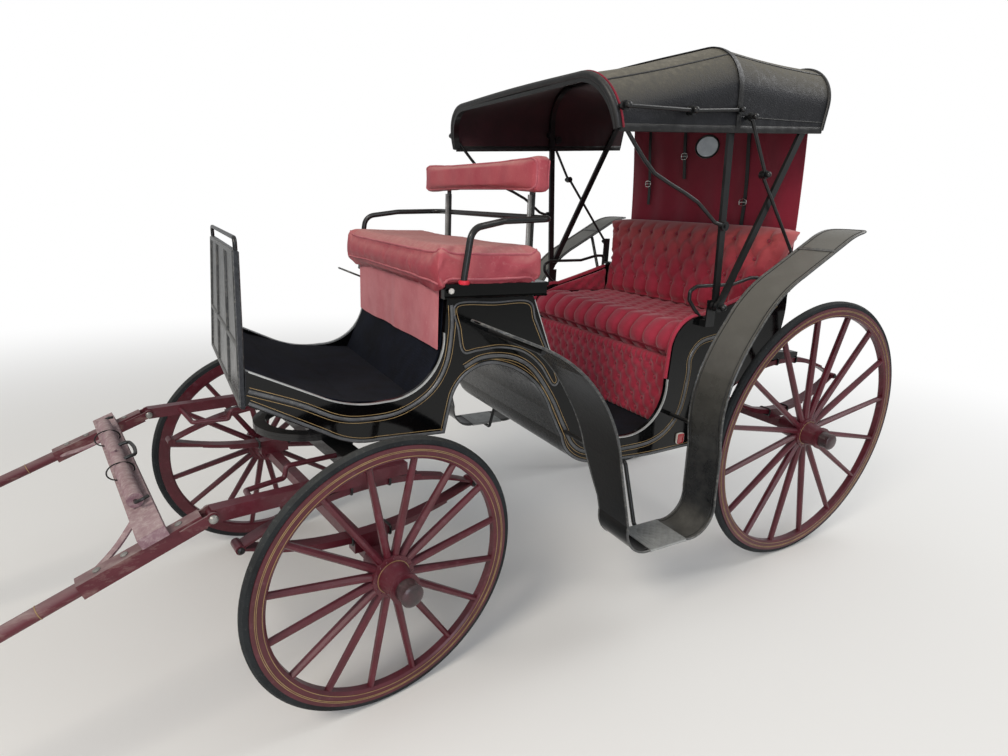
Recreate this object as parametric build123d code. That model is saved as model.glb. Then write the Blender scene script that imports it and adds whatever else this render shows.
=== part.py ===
from build123d import *
from math import cos, hypot, radians, sin, sqrt, tan
import os

os.makedirs("parts", exist_ok=True)

# Frame: millimetres, +X forward, +Y left, +Z up.
# The model is drawn from the ground point under the rear axle and moved at the end.

# Running clearances
RUNNING_FIT = 0.05
SOFT_GAP = 0.3
JOINT_GAP = 0.5
SIDE_PLAY = 2.0

# Wheels
WHEELBASE = 1994.0
REAR_RIM_RADIUS = 560.0
FRONT_RIM_RADIUS = 407.0
TYRE_THICKNESS = 22.0
TYRE_WIDTH = 27.0
TYRE_CROWN = 7.0
FELLOE_DEPTH = 42.0
FELLOE_WIDTH = 34.0
REAR_FACE_Y = 600.0
FRONT_FACE_Y = 618.0
REAR_CAMBER = 2.2
FRONT_CAMBER = 1.0
SPOKE_COUNT = 16
SPOKE_ROOT = (30.0, 23.0)
SPOKE_TIP = (24.0, 18.0)
HUB_RADIUS = 44.0
HUB_FLANGE_RADIUS = 66.0
HUB_INNER_LENGTH = 92.0
HUB_OUTER_LENGTH = 90.0
HUB_CAP_RADIUS = 33.0
HUB_CAP_LENGTH = 46.0
AXLE_ARM_RADIUS = 21.0
AXLE_SIZE = 38.0

# Front carriage, in its own frame about the kingpin
PARKED_STEER = 8.4
FRONT_SPRING_Y = 450.0
SPRING_WIDTH = 44.0
SPRING_REACH = 378.0
LEAF = 7.0
FRONT_SPRING_EYE_Z = 552.0
FRONT_SPRING_LOW_Z = 482.0
FRONT_SPRING_TOP_Z = 635.0
BOLSTER_HEIGHT = 44.0
RING_RADIUS = 190.0
RING_WIDTH = 40.0
RING_THICKNESS = 12.0
KINGPIN_RADIUS = 14.0
FUTCHELL_Y = 462.0
FUTCHELL_REACH = 440.0
FUTCHELL_SIZE = 38.0

# Shafts
SHAFT_SLOPE = 20.1
SHAFT_TIP_RADIUS = 17.0
SHAFT_LENGTH = 2080.0
SHAFT_STRAIGHT = 1000.0
SHAFT_TIP_Y = 300.0
SHAFT_HINGE_PIN = 8.0
CROSSBAR_AT = 130.0
CROSSBAR_SIZE = (64.0, 30.0)
SWINGLETREE_RADIUS = 20.0
SWINGLETREE_HALF = 330.0

# Body
BOOT_HALF_WIDTH = 422.0
TUB_HALF_WIDTH = 500.0
KING_X = WHEELBASE
BOOT_END_X = KING_X - 694
TUB_START_X = 800.0
SIDE_THICKNESS = 24.0
BOARD = 14.0
BOOT_BOTTOM_Z = 752.0
FLOOR_BOTTOM_Z = 560.0
CARPET_Z = 655.0
CARPET_END_X = KING_X - 824
BOOT_FRONT_X = KING_X - 326
BOOT_TOP_Z = 1185.0
PLINTH_HEIGHT = 46.0
PLINTH_HALF = 447.0
PLINTH_FLANGE = 12.0
PLINTH_WEB_INSET = 9.0
PLINTH_REAR_X = KING_X - 676
PLINTH_FRONT_X = KING_X - 312

# Coachman's floor in side view: toe board, floor and heel board, as their upper line
COACH_FLOOR = [
    (KING_X + 242, 1000),
    (KING_X + 139, 944),
    (KING_X - 25, 889),
    (KING_X - 244, 867),
    (KING_X - 313, 1018),
    (BOOT_FRONT_X - 4, BOOT_TOP_Z),
]

# Dash
DASH_BOTTOM = (KING_X + 253, 905.0)
DASH_TOP = (KING_X + 233, 1318.0)
DASH_HALF_BOTTOM = 411.0
DASH_HALF_TOP = 322.0
DASH_THICKNESS = 10.0
DASH_RAIL_Z = 1350.0
DASH_RAIL_RADIUS = 6.0

# Coachman's seat
BOX_CUSHION_HALF = 488.0
BOX_CUSHION_FRONT_X = PLINTH_FRONT_X + 48
BOX_CUSHION_REAR_X = PLINTH_REAR_X + 34
BOX_CUSHION_HEIGHT = 106.0
CUSHION_DROP = 22.0
CUSHION_ROLL_GAP = 12.0
ROLL_HEIGHT = 90.0
BOX_RAIL_RADIUS = 10.0
BOX_RAIL_Z = 1428.0
BOX_RAIL_REAR_X = PLINTH_REAR_X - 3
BOX_RAIL_HALF = 441.0
PAD_HALF = 445.0
PAD_BOTTOM_Z = 1502.0
PAD_TOP_Z = 1618.0
PAD_THICKNESS = 62.0
POST_Y = 327.0
APRON_HALF = 406.0
APRON_LOW_Z = 1022.0

# Passenger seat
SEAT_FRONT_X = 760.0
WELL_RUN = KING_X - 894 - SEAT_FRONT_X
RISER_X = SEAT_FRONT_X - 44
RISER_THICKNESS = 16.0
SEAT_BOARD = 18.0
SEAT_TOP_Z = 935.0
CUSHION_HEIGHT = 118.0
BACKREST_TOP_Z = 1418.0
BACKREST_HALF_TOP = 530.0
ARM_RAIL_RADIUS = 7.0

# Mudguards and steps
WING_INNER_Y = 600.0
WING_OUTER_Y = 755.0
WING_BROAD_Y = 525.0
WING_THICKNESS = 4.0
STEP_X = SEAT_FRONT_X + 0.5735 * WELL_RUN
STEP_LENGTH = 170.0
STEP_Z = 345.0
STEP_THICKNESS = 9.0
WING_IRON_RADIUS = 8.0

# Rear springs
REAR_SPRING_Y = 400.0
REAR_SPRING_EYE_Z = 740.0
REAR_SPRING_LOW_Z = 620.0
REAR_SPRING_TOP_Z = 842.0

# Hood
PIVOT_X = 645.0
PIVOT_Z = 1140.0
PIVOT_PIN = 9.0
BOW_WIDTH = 26.0
BOW_THICKNESS = 12.0
BOW_CLEARANCE = 6.0
MAIN_BOW_HALF = 543.0
REAR_BOW_HALF = MAIN_BOW_HALF + 17
MAIN_TOP = (699.0, 1992.0)
REAR_TOP = (225.0, 1985.0)
FRONT_JOINT = (672.0, 1425.0)
FRONT_LEG = [
    (722, 1437),
    (766, 1468),
    (814, 1500),
    (880, 1528),
    (950, 1553),
    (1018, 1580),
    (1064, 1616),
    (1110, 1660),
]
RIM_LOW = (1163.0, 1705.0)
RIM_TOP = (1200.0, 1846.0)
BOW_CORNER = 150.0
RIM_FOOT = -8.0
LEATHER = 4.0
CURTAIN_HALF = MAIN_BOW_HALF - 48
CURTAIN_CORNER = 110.0
WINDOW_Z = 1755.0
WINDOW_HALF = (64.0, 43.0)
VALANCE_MAIN_Z = 1740.0
VALANCE_REAR_Z = 1777.0
LEATHER_REAR_X = 243.0
PROP_FOOT = (280.0, 1300.0)
PROP_KNUCKLE = (540.0, 1604.0)
PROP_HEAD = (650.0, 1780.0)
TOP_IRON_REAR = (695.0, 1798.0)
TOP_IRON_KNUCKLE = (918.0, 1772.0)
TOP_IRON_FRONT = (1190.0, 1757.0)
IRON_Y = REAR_BOW_HALF + 21
IRON_RADIUS = 6.0
KNUCKLE_RADIUS = 14.0
JOINT_PIN = 7.0
LINK_GAP = 1.0
FRONT_LEG_RADIUS = 6.5

PIECES = {}


def keep(name, *shapes):
    """Store the pieces of one node."""
    solids = []
    for shape in shapes:
        solids.extend(shape.solids())
    PIECES[name] = Compound(solids) if len(solids) > 1 else solids[0]


def mirrored(shape):
    """The same piece on the other side of the middle plane."""
    return mirror(shape, about=Plane.XZ)


def chain(start, *moves):
    """Lines (x, z) and three point arcs (mid x, mid z, end x, end z) from a start point, drawn flat."""
    edges = []
    here = start
    for move in moves:
        if len(move) == 2:
            edges.append(Edge.make_line((*here, 0), (*move, 0)))
        else:
            edges.append(Edge.make_three_point_arc((*here, 0), (*move[:2], 0), (*move[2:], 0)))
        here = move[-2:]
    return edges


def closed_face(start, *moves):
    """A flat face from a closed chain."""
    return Face(Wire(chain(start, *moves, start)))


def upright(face, low_y, high_y):
    """Stand a flat side outline up and give it width from low_y to high_y."""
    standing = Pos(0, low_y, 0) * (Rot(90, 0, 0) * face)
    return extrude(standing, amount=high_y - low_y, dir=(0, 1, 0))


def round_bar(points, radius, bend):
    """A round bar bent through a list of points."""
    path = FilletPolyline(*points, radius=bend) if len(points) > 2 else Line(*points)
    section = Plane(origin=path @ 0, z_dir=path % 0) * Circle(radius)
    return sweep(section, path=path)


def flat_bar(edges, width, thickness, y):
    """A flat bar whose centre line is a chain in the side view, set across at y."""
    path = Pos(0, y, 0) * (Rot(90, 0, 0) * Wire(edges))
    plane = Plane(origin=path @ 0, x_dir=(0, 1, 0), z_dir=path % 0)
    return sweep(plane * Rectangle(width, thickness), path=path)


def cross_pin(x, z, radius, low_y, high_y):
    """A pin lying across the carriage."""
    return Pos(x, (low_y + high_y) / 2, z) * (Rot(90, 0, 0) * Cylinder(radius, abs(high_y - low_y)))


# Wheels
def tyre_centre_height(rim_radius, camber):
    """Height of the wheel centre above rim level for the tyre crown to reach the floor."""
    crown_centre = rim_radius + TYRE_THICKNESS - TYRE_CROWN
    return crown_centre * cos(radians(camber)) + TYRE_CROWN - TYRE_THICKNESS


REAR_CENTRE_Z = tyre_centre_height(REAR_RIM_RADIUS, REAR_CAMBER)
FRONT_CENTRE_Z = tyre_centre_height(FRONT_RIM_RADIUS, FRONT_CAMBER)


def wheel_frame(side, face_y, centre_z, camber):
    """Place a wheel drawn about +Z, outer face up, on its side of the axle."""
    return Pos(0, side * face_y, centre_z) * Rot(-side * (90 + camber), 0, 0)


def make_tyre(rim_radius):
    """Rubber tyre with a rounded crown."""
    outer = rim_radius + TYRE_THICKNESS
    half = TYRE_WIDTH / 2
    mid = -FELLOE_WIDTH / 2
    profile = Polyline(
        (rim_radius + SOFT_GAP, 0, mid - half),
        (outer - TYRE_CROWN, 0, mid - half),
        (outer, 0, mid - half * 0.35),
        (outer, 0, mid + half * 0.35),
        (outer - TYRE_CROWN, 0, mid + half),
        (rim_radius + SOFT_GAP, 0, mid + half),
        close=True,
    )
    return revolve(make_face(profile), axis=Axis.Z)


def spoke_section(along, height, size):
    """Eight sided spoke section, set out along the spoke."""
    deep, wide = size[0] / 2, size[1] / 2
    corners = [
        (wide, deep * 0.4), (wide * 0.4, deep), (-wide * 0.4, deep), (-wide, deep * 0.4),
        (-wide, -deep * 0.4), (-wide * 0.4, -deep), (wide * 0.4, -deep), (wide, -deep * 0.4),
    ]
    return make_face(Polyline(*[(along, y, height + z) for y, z in corners], close=True))


def hub_root(rim_radius, camber):
    """Height of the spoke roots along the wheel axis; the dish makes the lowest spoke upright."""
    return -FELLOE_WIDTH / 2 - (rim_radius - FELLOE_DEPTH) * tan(radians(camber))


def make_wheel(rim_radius, camber):
    """Wooden wheel: flanged hub, tapered spokes with a dish, felloe ring and cap."""
    inner = rim_radius - FELLOE_DEPTH
    mid = -FELLOE_WIDTH / 2
    felloe_profile = Polyline(
        (inner, 0, mid - 11),
        (inner + 6, 0, mid - FELLOE_WIDTH / 2),
        (rim_radius, 0, mid - FELLOE_WIDTH / 2),
        (rim_radius, 0, mid + FELLOE_WIDTH / 2),
        (inner + 6, 0, mid + FELLOE_WIDTH / 2),
        (inner, 0, mid + 11),
        close=True,
    )
    wheel = revolve(make_face(felloe_profile), axis=Axis.Z)
    root = hub_root(rim_radius, camber)
    bore = AXLE_ARM_RADIUS + RUNNING_FIT
    outer_end = root + HUB_OUTER_LENGTH
    inner_end = root - HUB_INNER_LENGTH
    cap_end = outer_end + HUB_CAP_LENGTH
    hub_profile = Polyline(
        (bore, 0, inner_end),
        (HUB_RADIUS, 0, inner_end),
        (HUB_RADIUS + 6, 0, root - 20),
        (HUB_FLANGE_RADIUS, 0, root - 18),
        (HUB_FLANGE_RADIUS, 0, root + 18),
        (HUB_RADIUS + 6, 0, root + 20),
        (HUB_RADIUS - 3, 0, outer_end - 8),
        (HUB_RADIUS, 0, outer_end),
        (HUB_CAP_RADIUS, 0, outer_end),
        (HUB_CAP_RADIUS - 2, 0, cap_end - 5),
        (HUB_CAP_RADIUS - 9, 0, cap_end),
        (0, 0, cap_end),
        (0, 0, outer_end),
        (bore, 0, outer_end),
        close=True,
    )
    wheel += revolve(make_face(hub_profile), axis=Axis.Z)
    start = spoke_section(HUB_FLANGE_RADIUS - 8, root, SPOKE_ROOT)
    end = spoke_section(inner + 4, mid, SPOKE_TIP)
    spoke = loft([start, end])
    for index in range(SPOKE_COUNT):
        wheel += Rot(0, 0, 360 * (index + 0.5) / SPOKE_COUNT) * spoke
    return wheel


def axle_arm(rim_radius, camber):
    """Axle arm with its collar, in the wheel's own frame."""
    root = hub_root(rim_radius, camber)
    outer_end = root + HUB_OUTER_LENGTH - SIDE_PLAY
    inner_end = root - HUB_INNER_LENGTH - SIDE_PLAY
    arm = Pos(0, 0, (outer_end + inner_end) / 2) * Cylinder(AXLE_ARM_RADIUS, outer_end - inner_end)
    collar = Pos(0, 0, inner_end - 7) * Cylinder(HUB_RADIUS - 8, 14)
    return arm + collar, inner_end - 14


def make_axle(rim_radius, camber, face_y, centre_z, spring_y, spring_low):
    """Square axle between two arms, with a block under each spring."""
    arm, inner_end = axle_arm(rim_radius, camber)
    bar_y = face_y + inner_end * cos(radians(camber))
    bar_z = centre_z - inner_end * sin(radians(camber))
    axle = Pos(0, 0, bar_z) * Box(AXLE_SIZE, 2 * bar_y + 4, AXLE_SIZE)
    for side in (1, -1):
        axle += wheel_frame(side, face_y, centre_z, camber) * arm
    block_low = bar_z + AXLE_SIZE / 2
    block_high = spring_low - 2.5 * LEAF
    for side in (1, -1):
        middle = (block_low + block_high) / 2
        axle += Pos(0, side * spring_y, middle) * Box(110, SPRING_WIDTH, block_high - block_low)
    return axle


# Springs
def make_spring(low_z, eye_z, top_z, y):
    """Full elliptic spring: two main leaves joined at rolled eyes, with two shorter leaves each way."""
    spring = None
    for centre_z, outward in ((low_z, -1), (top_z, 1)):
        rise = eye_z - centre_z
        for layer in range(3):
            reach = SPRING_REACH * (1.0, 0.72, 0.46)[layer]
            share = (reach / SPRING_REACH) ** 2
            lift = outward * layer * LEAF
            end_z = centre_z + rise * share + lift
            leaf = flat_bar(chain((-reach, end_z), (0, centre_z + lift, reach, end_z)), SPRING_WIDTH, LEAF, y)
            spring = leaf if spring is None else spring + leaf
    for x in (-SPRING_REACH, SPRING_REACH):
        spring += cross_pin(x, eye_z, 13, y - SPRING_WIDTH / 2 - 4, y + SPRING_WIDTH / 2 + 4)
    return spring


# Underside and back of the body in side view: dash foot, cut-under arch, floor and tub back
BELLY_LOW_Z = 540
BELLY_FRONT = (KING_X + 254, 919)
FLOOR_FRONT_X = KING_X - 909
FLOOR_REAR = (600, 574)
BELLY = [
    (KING_X + 46, 803),
    (KING_X - 29, 768, KING_X - 109, 760),
    (BOOT_FRONT_X - 2, BOOT_BOTTOM_Z),
    (KING_X - 353, 868),
    (KING_X - 396, 935, KING_X - 517, 962),
    (KING_X - 634, 904, KING_X - 726, 775),
    (KING_X - 779, 672),
    (KING_X - 827, 590, FLOOR_FRONT_X, FLOOR_BOTTOM_Z),
    FLOOR_REAR,
    (500, 630, 447, 738),
    (430, 790),
    (345, 852, 250, 882),
    (196, 980, 179, 1151),
    (178, 1214),
]


def side_outline():
    """Outline of one body side: boot, wheel arch, rocker, seat quarter and the two stepping openings."""
    return closed_face(
        BELLY_FRONT,
        *BELLY,
        (262, 1208),
        (450, 1148, 640, 1094),
        (738, 1068, 786, 985),
        (792, 850),
        (SEAT_FRONT_X + 0.23 * WELL_RUN, 712, SEAT_FRONT_X + 0.62 * WELL_RUN, 653),
        (SEAT_FRONT_X + 0.735 * WELL_RUN, 650),
        (KING_X - 894, 690, KING_X - 822, 800),
        (KING_X - 710, 1004),
        (KING_X - 635, BOOT_TOP_Z),
        (BOOT_FRONT_X - 2, BOOT_TOP_Z),
        (KING_X - 322, 1080),
        (KING_X - 278, 945, KING_X - 134, 881),
        (KING_X - 44, 884, KING_X + 46, 912),
        (KING_X + 248, 1013),
    )


def outside_face(grow):
    """Region below and behind the body's belly, grown inward to cut its skin."""
    under = closed_face(
        (KING_X + 606, 1115),
        BELLY_FRONT,
        *BELLY,
        (170, 1700),
        (-300, 1700),
        (-300, 200),
        (KING_X + 606, 200),
    )
    return offset(under, grow, kind=Kind.INTERSECTION) if grow else under


def plan_edges(inset):
    """Half of the plan of the body sides, from dash to tub, moved in by inset."""
    width = TUB_HALF_WIDTH - BOOT_HALF_WIDTH
    length = BOOT_END_X - TUB_START_X
    quarter = length / 4
    near = BOOT_HALF_WIDTH - inset
    far = TUB_HALF_WIDTH - inset
    return [
        (BOOT_END_X - quarter, near + width * 0.13, (BOOT_END_X + TUB_START_X) / 2, (near + far) / 2),
        (TUB_START_X + quarter, far - width * 0.13, TUB_START_X, far),
        (0, far),
    ]


def plan_band(outer, thickness, low_z=0.0, high_z=2300.0):
    """Upright wall that follows the left body side; outer is the distance outside the side's face."""
    near = BOOT_HALF_WIDTH + outer
    outside = chain((KING_X + 706, near), (BOOT_END_X, near), *plan_edges(-outer))
    inside = chain((KING_X + 706, near - thickness), (BOOT_END_X, near - thickness), *plan_edges(thickness - outer))
    caps = [
        Edge.make_line(outside[0] @ 0, inside[0] @ 0),
        Edge.make_line(outside[-1] @ 1, inside[-1] @ 1),
    ]
    face = Face(Wire(outside + inside + caps))
    return extrude(Pos(0, 0, low_z) * face, amount=high_z - low_z, dir=(0, 0, 1))


def plan_inside(clearance):
    """Upright prism filling the space between the two body sides."""
    inset = SIDE_THICKNESS + clearance
    near = BOOT_HALF_WIDTH - inset
    left = chain((KING_X + 706, near), (BOOT_END_X, near), *plan_edges(inset))
    right = [edge.mirror(Plane.XZ) for edge in left]
    caps = [
        Edge.make_line(left[0] @ 0, right[0] @ 0),
        Edge.make_line(left[-1] @ 1, right[-1] @ 1),
    ]
    face = Face(Wire(left + right + caps))
    return extrude(face, amount=2300, dir=(0, 0, 1))


def window_x(shape, low_x, high_x, low_z=-50.0, high_z=2300.0):
    """Keep the part of a shape between two stations and two heights."""
    length = high_x - low_x
    height = high_z - low_z
    return shape & (Pos((low_x + high_x) / 2, 0, (low_z + high_z) / 2) * Box(length, 2400, height))


def add_wheels():
    """Four wheels and tyres; the front pair stands in the turned front carriage."""
    table = [
        ("rear_left", REAR_RIM_RADIUS, REAR_CAMBER, 1, REAR_FACE_Y, REAR_CENTRE_Z, REST),
        ("rear_right", REAR_RIM_RADIUS, REAR_CAMBER, -1, REAR_FACE_Y, REAR_CENTRE_Z, REST),
        ("front_left", FRONT_RIM_RADIUS, FRONT_CAMBER, 1, FRONT_FACE_Y, FRONT_CENTRE_Z, FORE),
        ("front_right", FRONT_RIM_RADIUS, FRONT_CAMBER, -1, FRONT_FACE_Y, FRONT_CENTRE_Z, FORE),
    ]
    made = {}
    for name, radius, camber, side, face_y, centre_z, frame in table:
        if radius not in made:
            made[radius] = (make_wheel(radius, camber), make_tyre(radius))
        wheel, tyre = made[radius]
        place = frame * wheel_frame(side, face_y, centre_z, camber)
        keep("wheel_" + name, place * wheel)
        keep("tyre_" + name, place * tyre)


def add_axles_and_springs():
    """Axles, elliptic springs and the irons that carry the body on the rear ones."""
    front = make_axle(
        FRONT_RIM_RADIUS, FRONT_CAMBER, FRONT_FACE_Y, FRONT_CENTRE_Z, FRONT_SPRING_Y, FRONT_SPRING_LOW_Z
    )
    rear = make_axle(
        REAR_RIM_RADIUS, REAR_CAMBER, REAR_FACE_Y, REAR_CENTRE_Z, REAR_SPRING_Y, REAR_SPRING_LOW_Z
    )
    keep("front_axle", FORE * front)
    keep("rear_axle", rear)
    left = make_spring(FRONT_SPRING_LOW_Z, FRONT_SPRING_EYE_Z, FRONT_SPRING_TOP_Z, FRONT_SPRING_Y)
    right = make_spring(FRONT_SPRING_LOW_Z, FRONT_SPRING_EYE_Z, FRONT_SPRING_TOP_Z, -FRONT_SPRING_Y)
    keep("front_springs", FORE * left, FORE * right)
    left = make_spring(REAR_SPRING_LOW_Z, REAR_SPRING_EYE_Z, REAR_SPRING_TOP_Z, REAR_SPRING_Y)
    right = make_spring(REAR_SPRING_LOW_Z, REAR_SPRING_EYE_Z, REAR_SPRING_TOP_Z, -REAR_SPRING_Y)
    keep("rear_springs", left, right)
    seat_z = REAR_SPRING_TOP_Z + 2.5 * LEAF
    low_y = REAR_SPRING_Y - SPRING_WIDTH / 2
    high_y = REAR_SPRING_Y + SPRING_WIDTH / 2
    block = upright(
        closed_face((-70, seat_z), (225, seat_z), (225, 960), (170, 900), (-70, seat_z + 24)), low_y, high_y)
    block &= upright(outside_face(-SOFT_GAP), low_y, high_y)
    strap = upright(outside_face(-SOFT_GAP), low_y, high_y) - upright(outside_face(-SOFT_GAP - 12), low_y, high_y)
    iron = block + window_x(strap, 205, 428, 780, 930)
    keep("rear_body_irons", iron, mirrored(iron))


def add_front_carriage():
    """Bolster, turning plate, futchells with their stays."""
    top = FRONT_SPRING_TOP_Z + 2.5 * LEAF
    futchell_z = top + FUTCHELL_SIZE / 2
    inner = FUTCHELL_Y - FUTCHELL_SIZE / 2
    bolster = Pos(0, 0, top + BOLSTER_HEIGHT / 2) * Box(70, 2 * inner, BOLSTER_HEIGHT)
    ring_z = top + BOLSTER_HEIGHT
    ring = Pos(0, 0, ring_z + RING_THICKNESS / 2) * (
        Cylinder(RING_RADIUS, RING_THICKNESS) - Cylinder(RING_RADIUS - RING_WIDTH, RING_THICKNESS)
    )
    pin_high = ring_z + 2 * RING_THICKNESS
    pin = Pos(0, 0, (top + pin_high) / 2) * Cylinder(KINGPIN_RADIUS, pin_high - top)
    keep("turning_plate_lower", FORE * (bolster + ring + pin))
    bars = []
    for side in (1, -1):
        bar = Pos((FUTCHELL_REACH - 120) / 2, side * FUTCHELL_Y, futchell_z)
        bar = bar * Box(FUTCHELL_REACH + 120, FUTCHELL_SIZE, FUTCHELL_SIZE)
        bar += cross_pin(FUTCHELL_REACH, futchell_z, SHAFT_HINGE_PIN, side * FUTCHELL_Y - 31, side * FUTCHELL_Y + 31)
        stay = round_bar(
            [(35 + SOFT_GAP, side * 300, ring_z - 12), (190, side * 300, ring_z - 12),
             (200, side * 306, ring_z - 46), (318, side * 330, ring_z - 46), (334, side * (inner + 4), futchell_z)],
            8, 12)
        bars.append(FORE * (bar + stay))
    keep("futchells", *bars)
    upper_low = ring_z + RING_THICKNESS + JOINT_GAP
    upper = Pos(0, 0, upper_low + RING_THICKNESS / 2) * (
        Cylinder(RING_RADIUS, RING_THICKNESS) - Cylinder(RING_RADIUS - RING_WIDTH, RING_THICKNESS)
    )
    bed_low = upper_low + RING_THICKNESS
    bed_high = bed_low + 120
    bed = Pos(WHEELBASE, 0, (bed_low + bed_high) / 2) * Box(90, 2 * RING_RADIUS, bed_high - bed_low)
    bed &= upright(outside_face(-SOFT_GAP), -RING_RADIUS, RING_RADIUS)
    keep("turning_plate_upper", Pos(WHEELBASE, 0, 0) * upper + bed)
    return futchell_z


def add_shafts(hinge_z):
    """Two bent shafts, their crossbar with stays, and the swingletree on its pin."""
    sink = SHAFT_LENGTH * sin(radians(SHAFT_SLOPE))
    floor_gap = hinge_z - sink + TYRE_THICKNESS - SHAFT_TIP_RADIUS
    rise = -floor_gap / cos(radians(SHAFT_SLOPE))
    lay = FORE * Pos(FUTCHELL_REACH, 0, hinge_z) * Rot(0, SHAFT_SLOPE, 0)
    shafts = []
    for side in (1, -1):
        start = (FUTCHELL_SIZE, side * FUTCHELL_Y, 0)
        bend = (SHAFT_STRAIGHT, side * FUTCHELL_Y, 0)
        second = (SHAFT_STRAIGHT + 500, side * (SHAFT_TIP_Y + 98), rise * 0.25)
        tip = (SHAFT_LENGTH, side * SHAFT_TIP_Y, rise)
        shaft = round_bar([start, bend, second, tip], SHAFT_TIP_RADIUS, 420)
        shaft += Pos(*tip) * Sphere(SHAFT_TIP_RADIUS)
        root = Pos((CROSSBAR_AT + 160) / 2 + 20, side * FUTCHELL_Y, 0) * Box(CROSSBAR_AT + 160, 42, 40)
        shaft += root
        for cheek in (1, -1):
            cheek_y = side * FUTCHELL_Y + cheek * (21 + 3)
            plate = Pos(36, cheek_y, 0) * Box(72 + 12, 6, 26) + cross_pin(0, 0, 15, cheek_y - 3, cheek_y + 3)
            shaft += plate - cross_pin(0, 0, SHAFT_HINGE_PIN + RUNNING_FIT, cheek_y - 4, cheek_y + 4)
        shafts.append(lay * shaft)
    keep("shafts", *shafts)
    bar_z = 20 + CROSSBAR_SIZE[1] / 2
    bar = Pos(CROSSBAR_AT, 0, bar_z) * Box(CROSSBAR_SIZE[0], 2 * FUTCHELL_Y + 50, CROSSBAR_SIZE[1])
    tree_z = bar_z + CROSSBAR_SIZE[1] / 2 + SIDE_PLAY + SWINGLETREE_RADIUS
    pin_high = tree_z + SWINGLETREE_RADIUS + 6
    bar += Pos(CROSSBAR_AT, 0, (bar_z + pin_high) / 2) * Cylinder(SHAFT_HINGE_PIN, pin_high - bar_z)
    keep("shaft_crossbar", lay * bar)
    tree = Pos(CROSSBAR_AT, 0, tree_z) * (Rot(90, 0, 0) * Cylinder(SWINGLETREE_RADIUS, 2 * SWINGLETREE_HALF))
    tree -= Pos(CROSSBAR_AT, 0, tree_z) * Cylinder(SHAFT_HINGE_PIN + RUNNING_FIT, 4 * SWINGLETREE_RADIUS)
    keep("swingletree", lay * tree)


def add_body():
    """Sides, floors, arch panel, tub back, risers and the plinth under the coachman's seat."""
    side = upright(side_outline(), 0, 700) & plan_band(0, SIDE_THICKNESS)
    keep("body_side_left", side)
    keep("body_side_right", mirrored(side))
    skin = upright(outside_face(BOARD), -700, 700) - upright(outside_face(0), -700, 700)
    skin = skin & plan_inside(SOFT_GAP)
    arch_rear_x = FLOOR_FRONT_X + 5
    back_front_x = 560
    toe = window_x(skin, BOOT_FRONT_X, BELLY_FRONT[0] - 2, BELLY_LOW_Z, 1005)
    arch = window_x(skin, arch_rear_x, BOOT_FRONT_X - SOFT_GAP, BELLY_LOW_Z, 1000)
    floor = window_x(skin, back_front_x, arch_rear_x - SOFT_GAP, BELLY_LOW_Z, 700)
    back = window_x(skin, 100, back_front_x - SOFT_GAP, BELLY_LOW_Z, 1214)
    inside = plan_inside(SOFT_GAP)
    lower = [(x - 6, z - BOARD) for x, z in COACH_FLOOR[:4]] + [(x - BOARD, z) for x, z in COACH_FLOOR[4:]]
    coach_floor = upright(closed_face(*COACH_FLOOR, *reversed(lower)), -700, 700) & inside
    low = CARPET_Z - BOARD
    rear_x = RISER_X + SOFT_GAP
    foot_floor = upright(
        closed_face((rear_x, low), (CARPET_END_X, low), (CARPET_END_X, CARPET_Z), (rear_x, CARPET_Z)), -700, 700)
    foot_floor &= inside
    keep("floor_boards", toe, floor, coach_floor, foot_floor)
    keep("cutunder_panel", arch)
    keep("back_panel", back)
    rear = upright(
        closed_face(
            (KING_X - 724, 800), (KING_X - 710, 800), (KING_X - 678, 995), (KING_X - 620, 1150),
            (KING_X - 620, BOOT_TOP_Z), (KING_X - 633, BOOT_TOP_Z), (KING_X - 691, 1000)), -700, 700)
    board_high = SEAT_TOP_Z - SOFT_GAP
    board_low = board_high - SEAT_BOARD
    riser_rear = RISER_X - RISER_THICKNESS
    seat = upright(
        closed_face((riser_rear, 590), (RISER_X, 590), (RISER_X, board_low), (riser_rear, board_low)), -700, 700)
    seat += upright(
        closed_face((230, board_low), (RISER_X, board_low), (RISER_X, board_high), (230, board_high)), -700, 700)
    belly = upright(outside_face(BOARD + SOFT_GAP), -700, 700)
    keep("seat_risers", (rear & inside) - belly, (seat & inside) - belly)
    top = BOOT_TOP_Z + PLINTH_HEIGHT
    web = PLINTH_HALF - PLINTH_WEB_INSET
    right_half = [
        (0, BOOT_TOP_Z), (web, BOOT_TOP_Z), (web + 5, BOOT_TOP_Z + 4), (web, BOOT_TOP_Z + 9),
        (web, top - PLINTH_FLANGE), (PLINTH_HALF, top - PLINTH_FLANGE), (PLINTH_HALF, top), (0, top),
    ]
    profile = Plane(origin=(PLINTH_REAR_X, 0, 0), x_dir=(0, 1, 0), z_dir=(1, 0, 0)) * make_face(
        Polyline(*right_half, close=True))
    plinth = extrude(profile, amount=PLINTH_FRONT_X - PLINTH_REAR_X)
    keep("box_plinth", plinth + mirrored(plinth))


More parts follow.
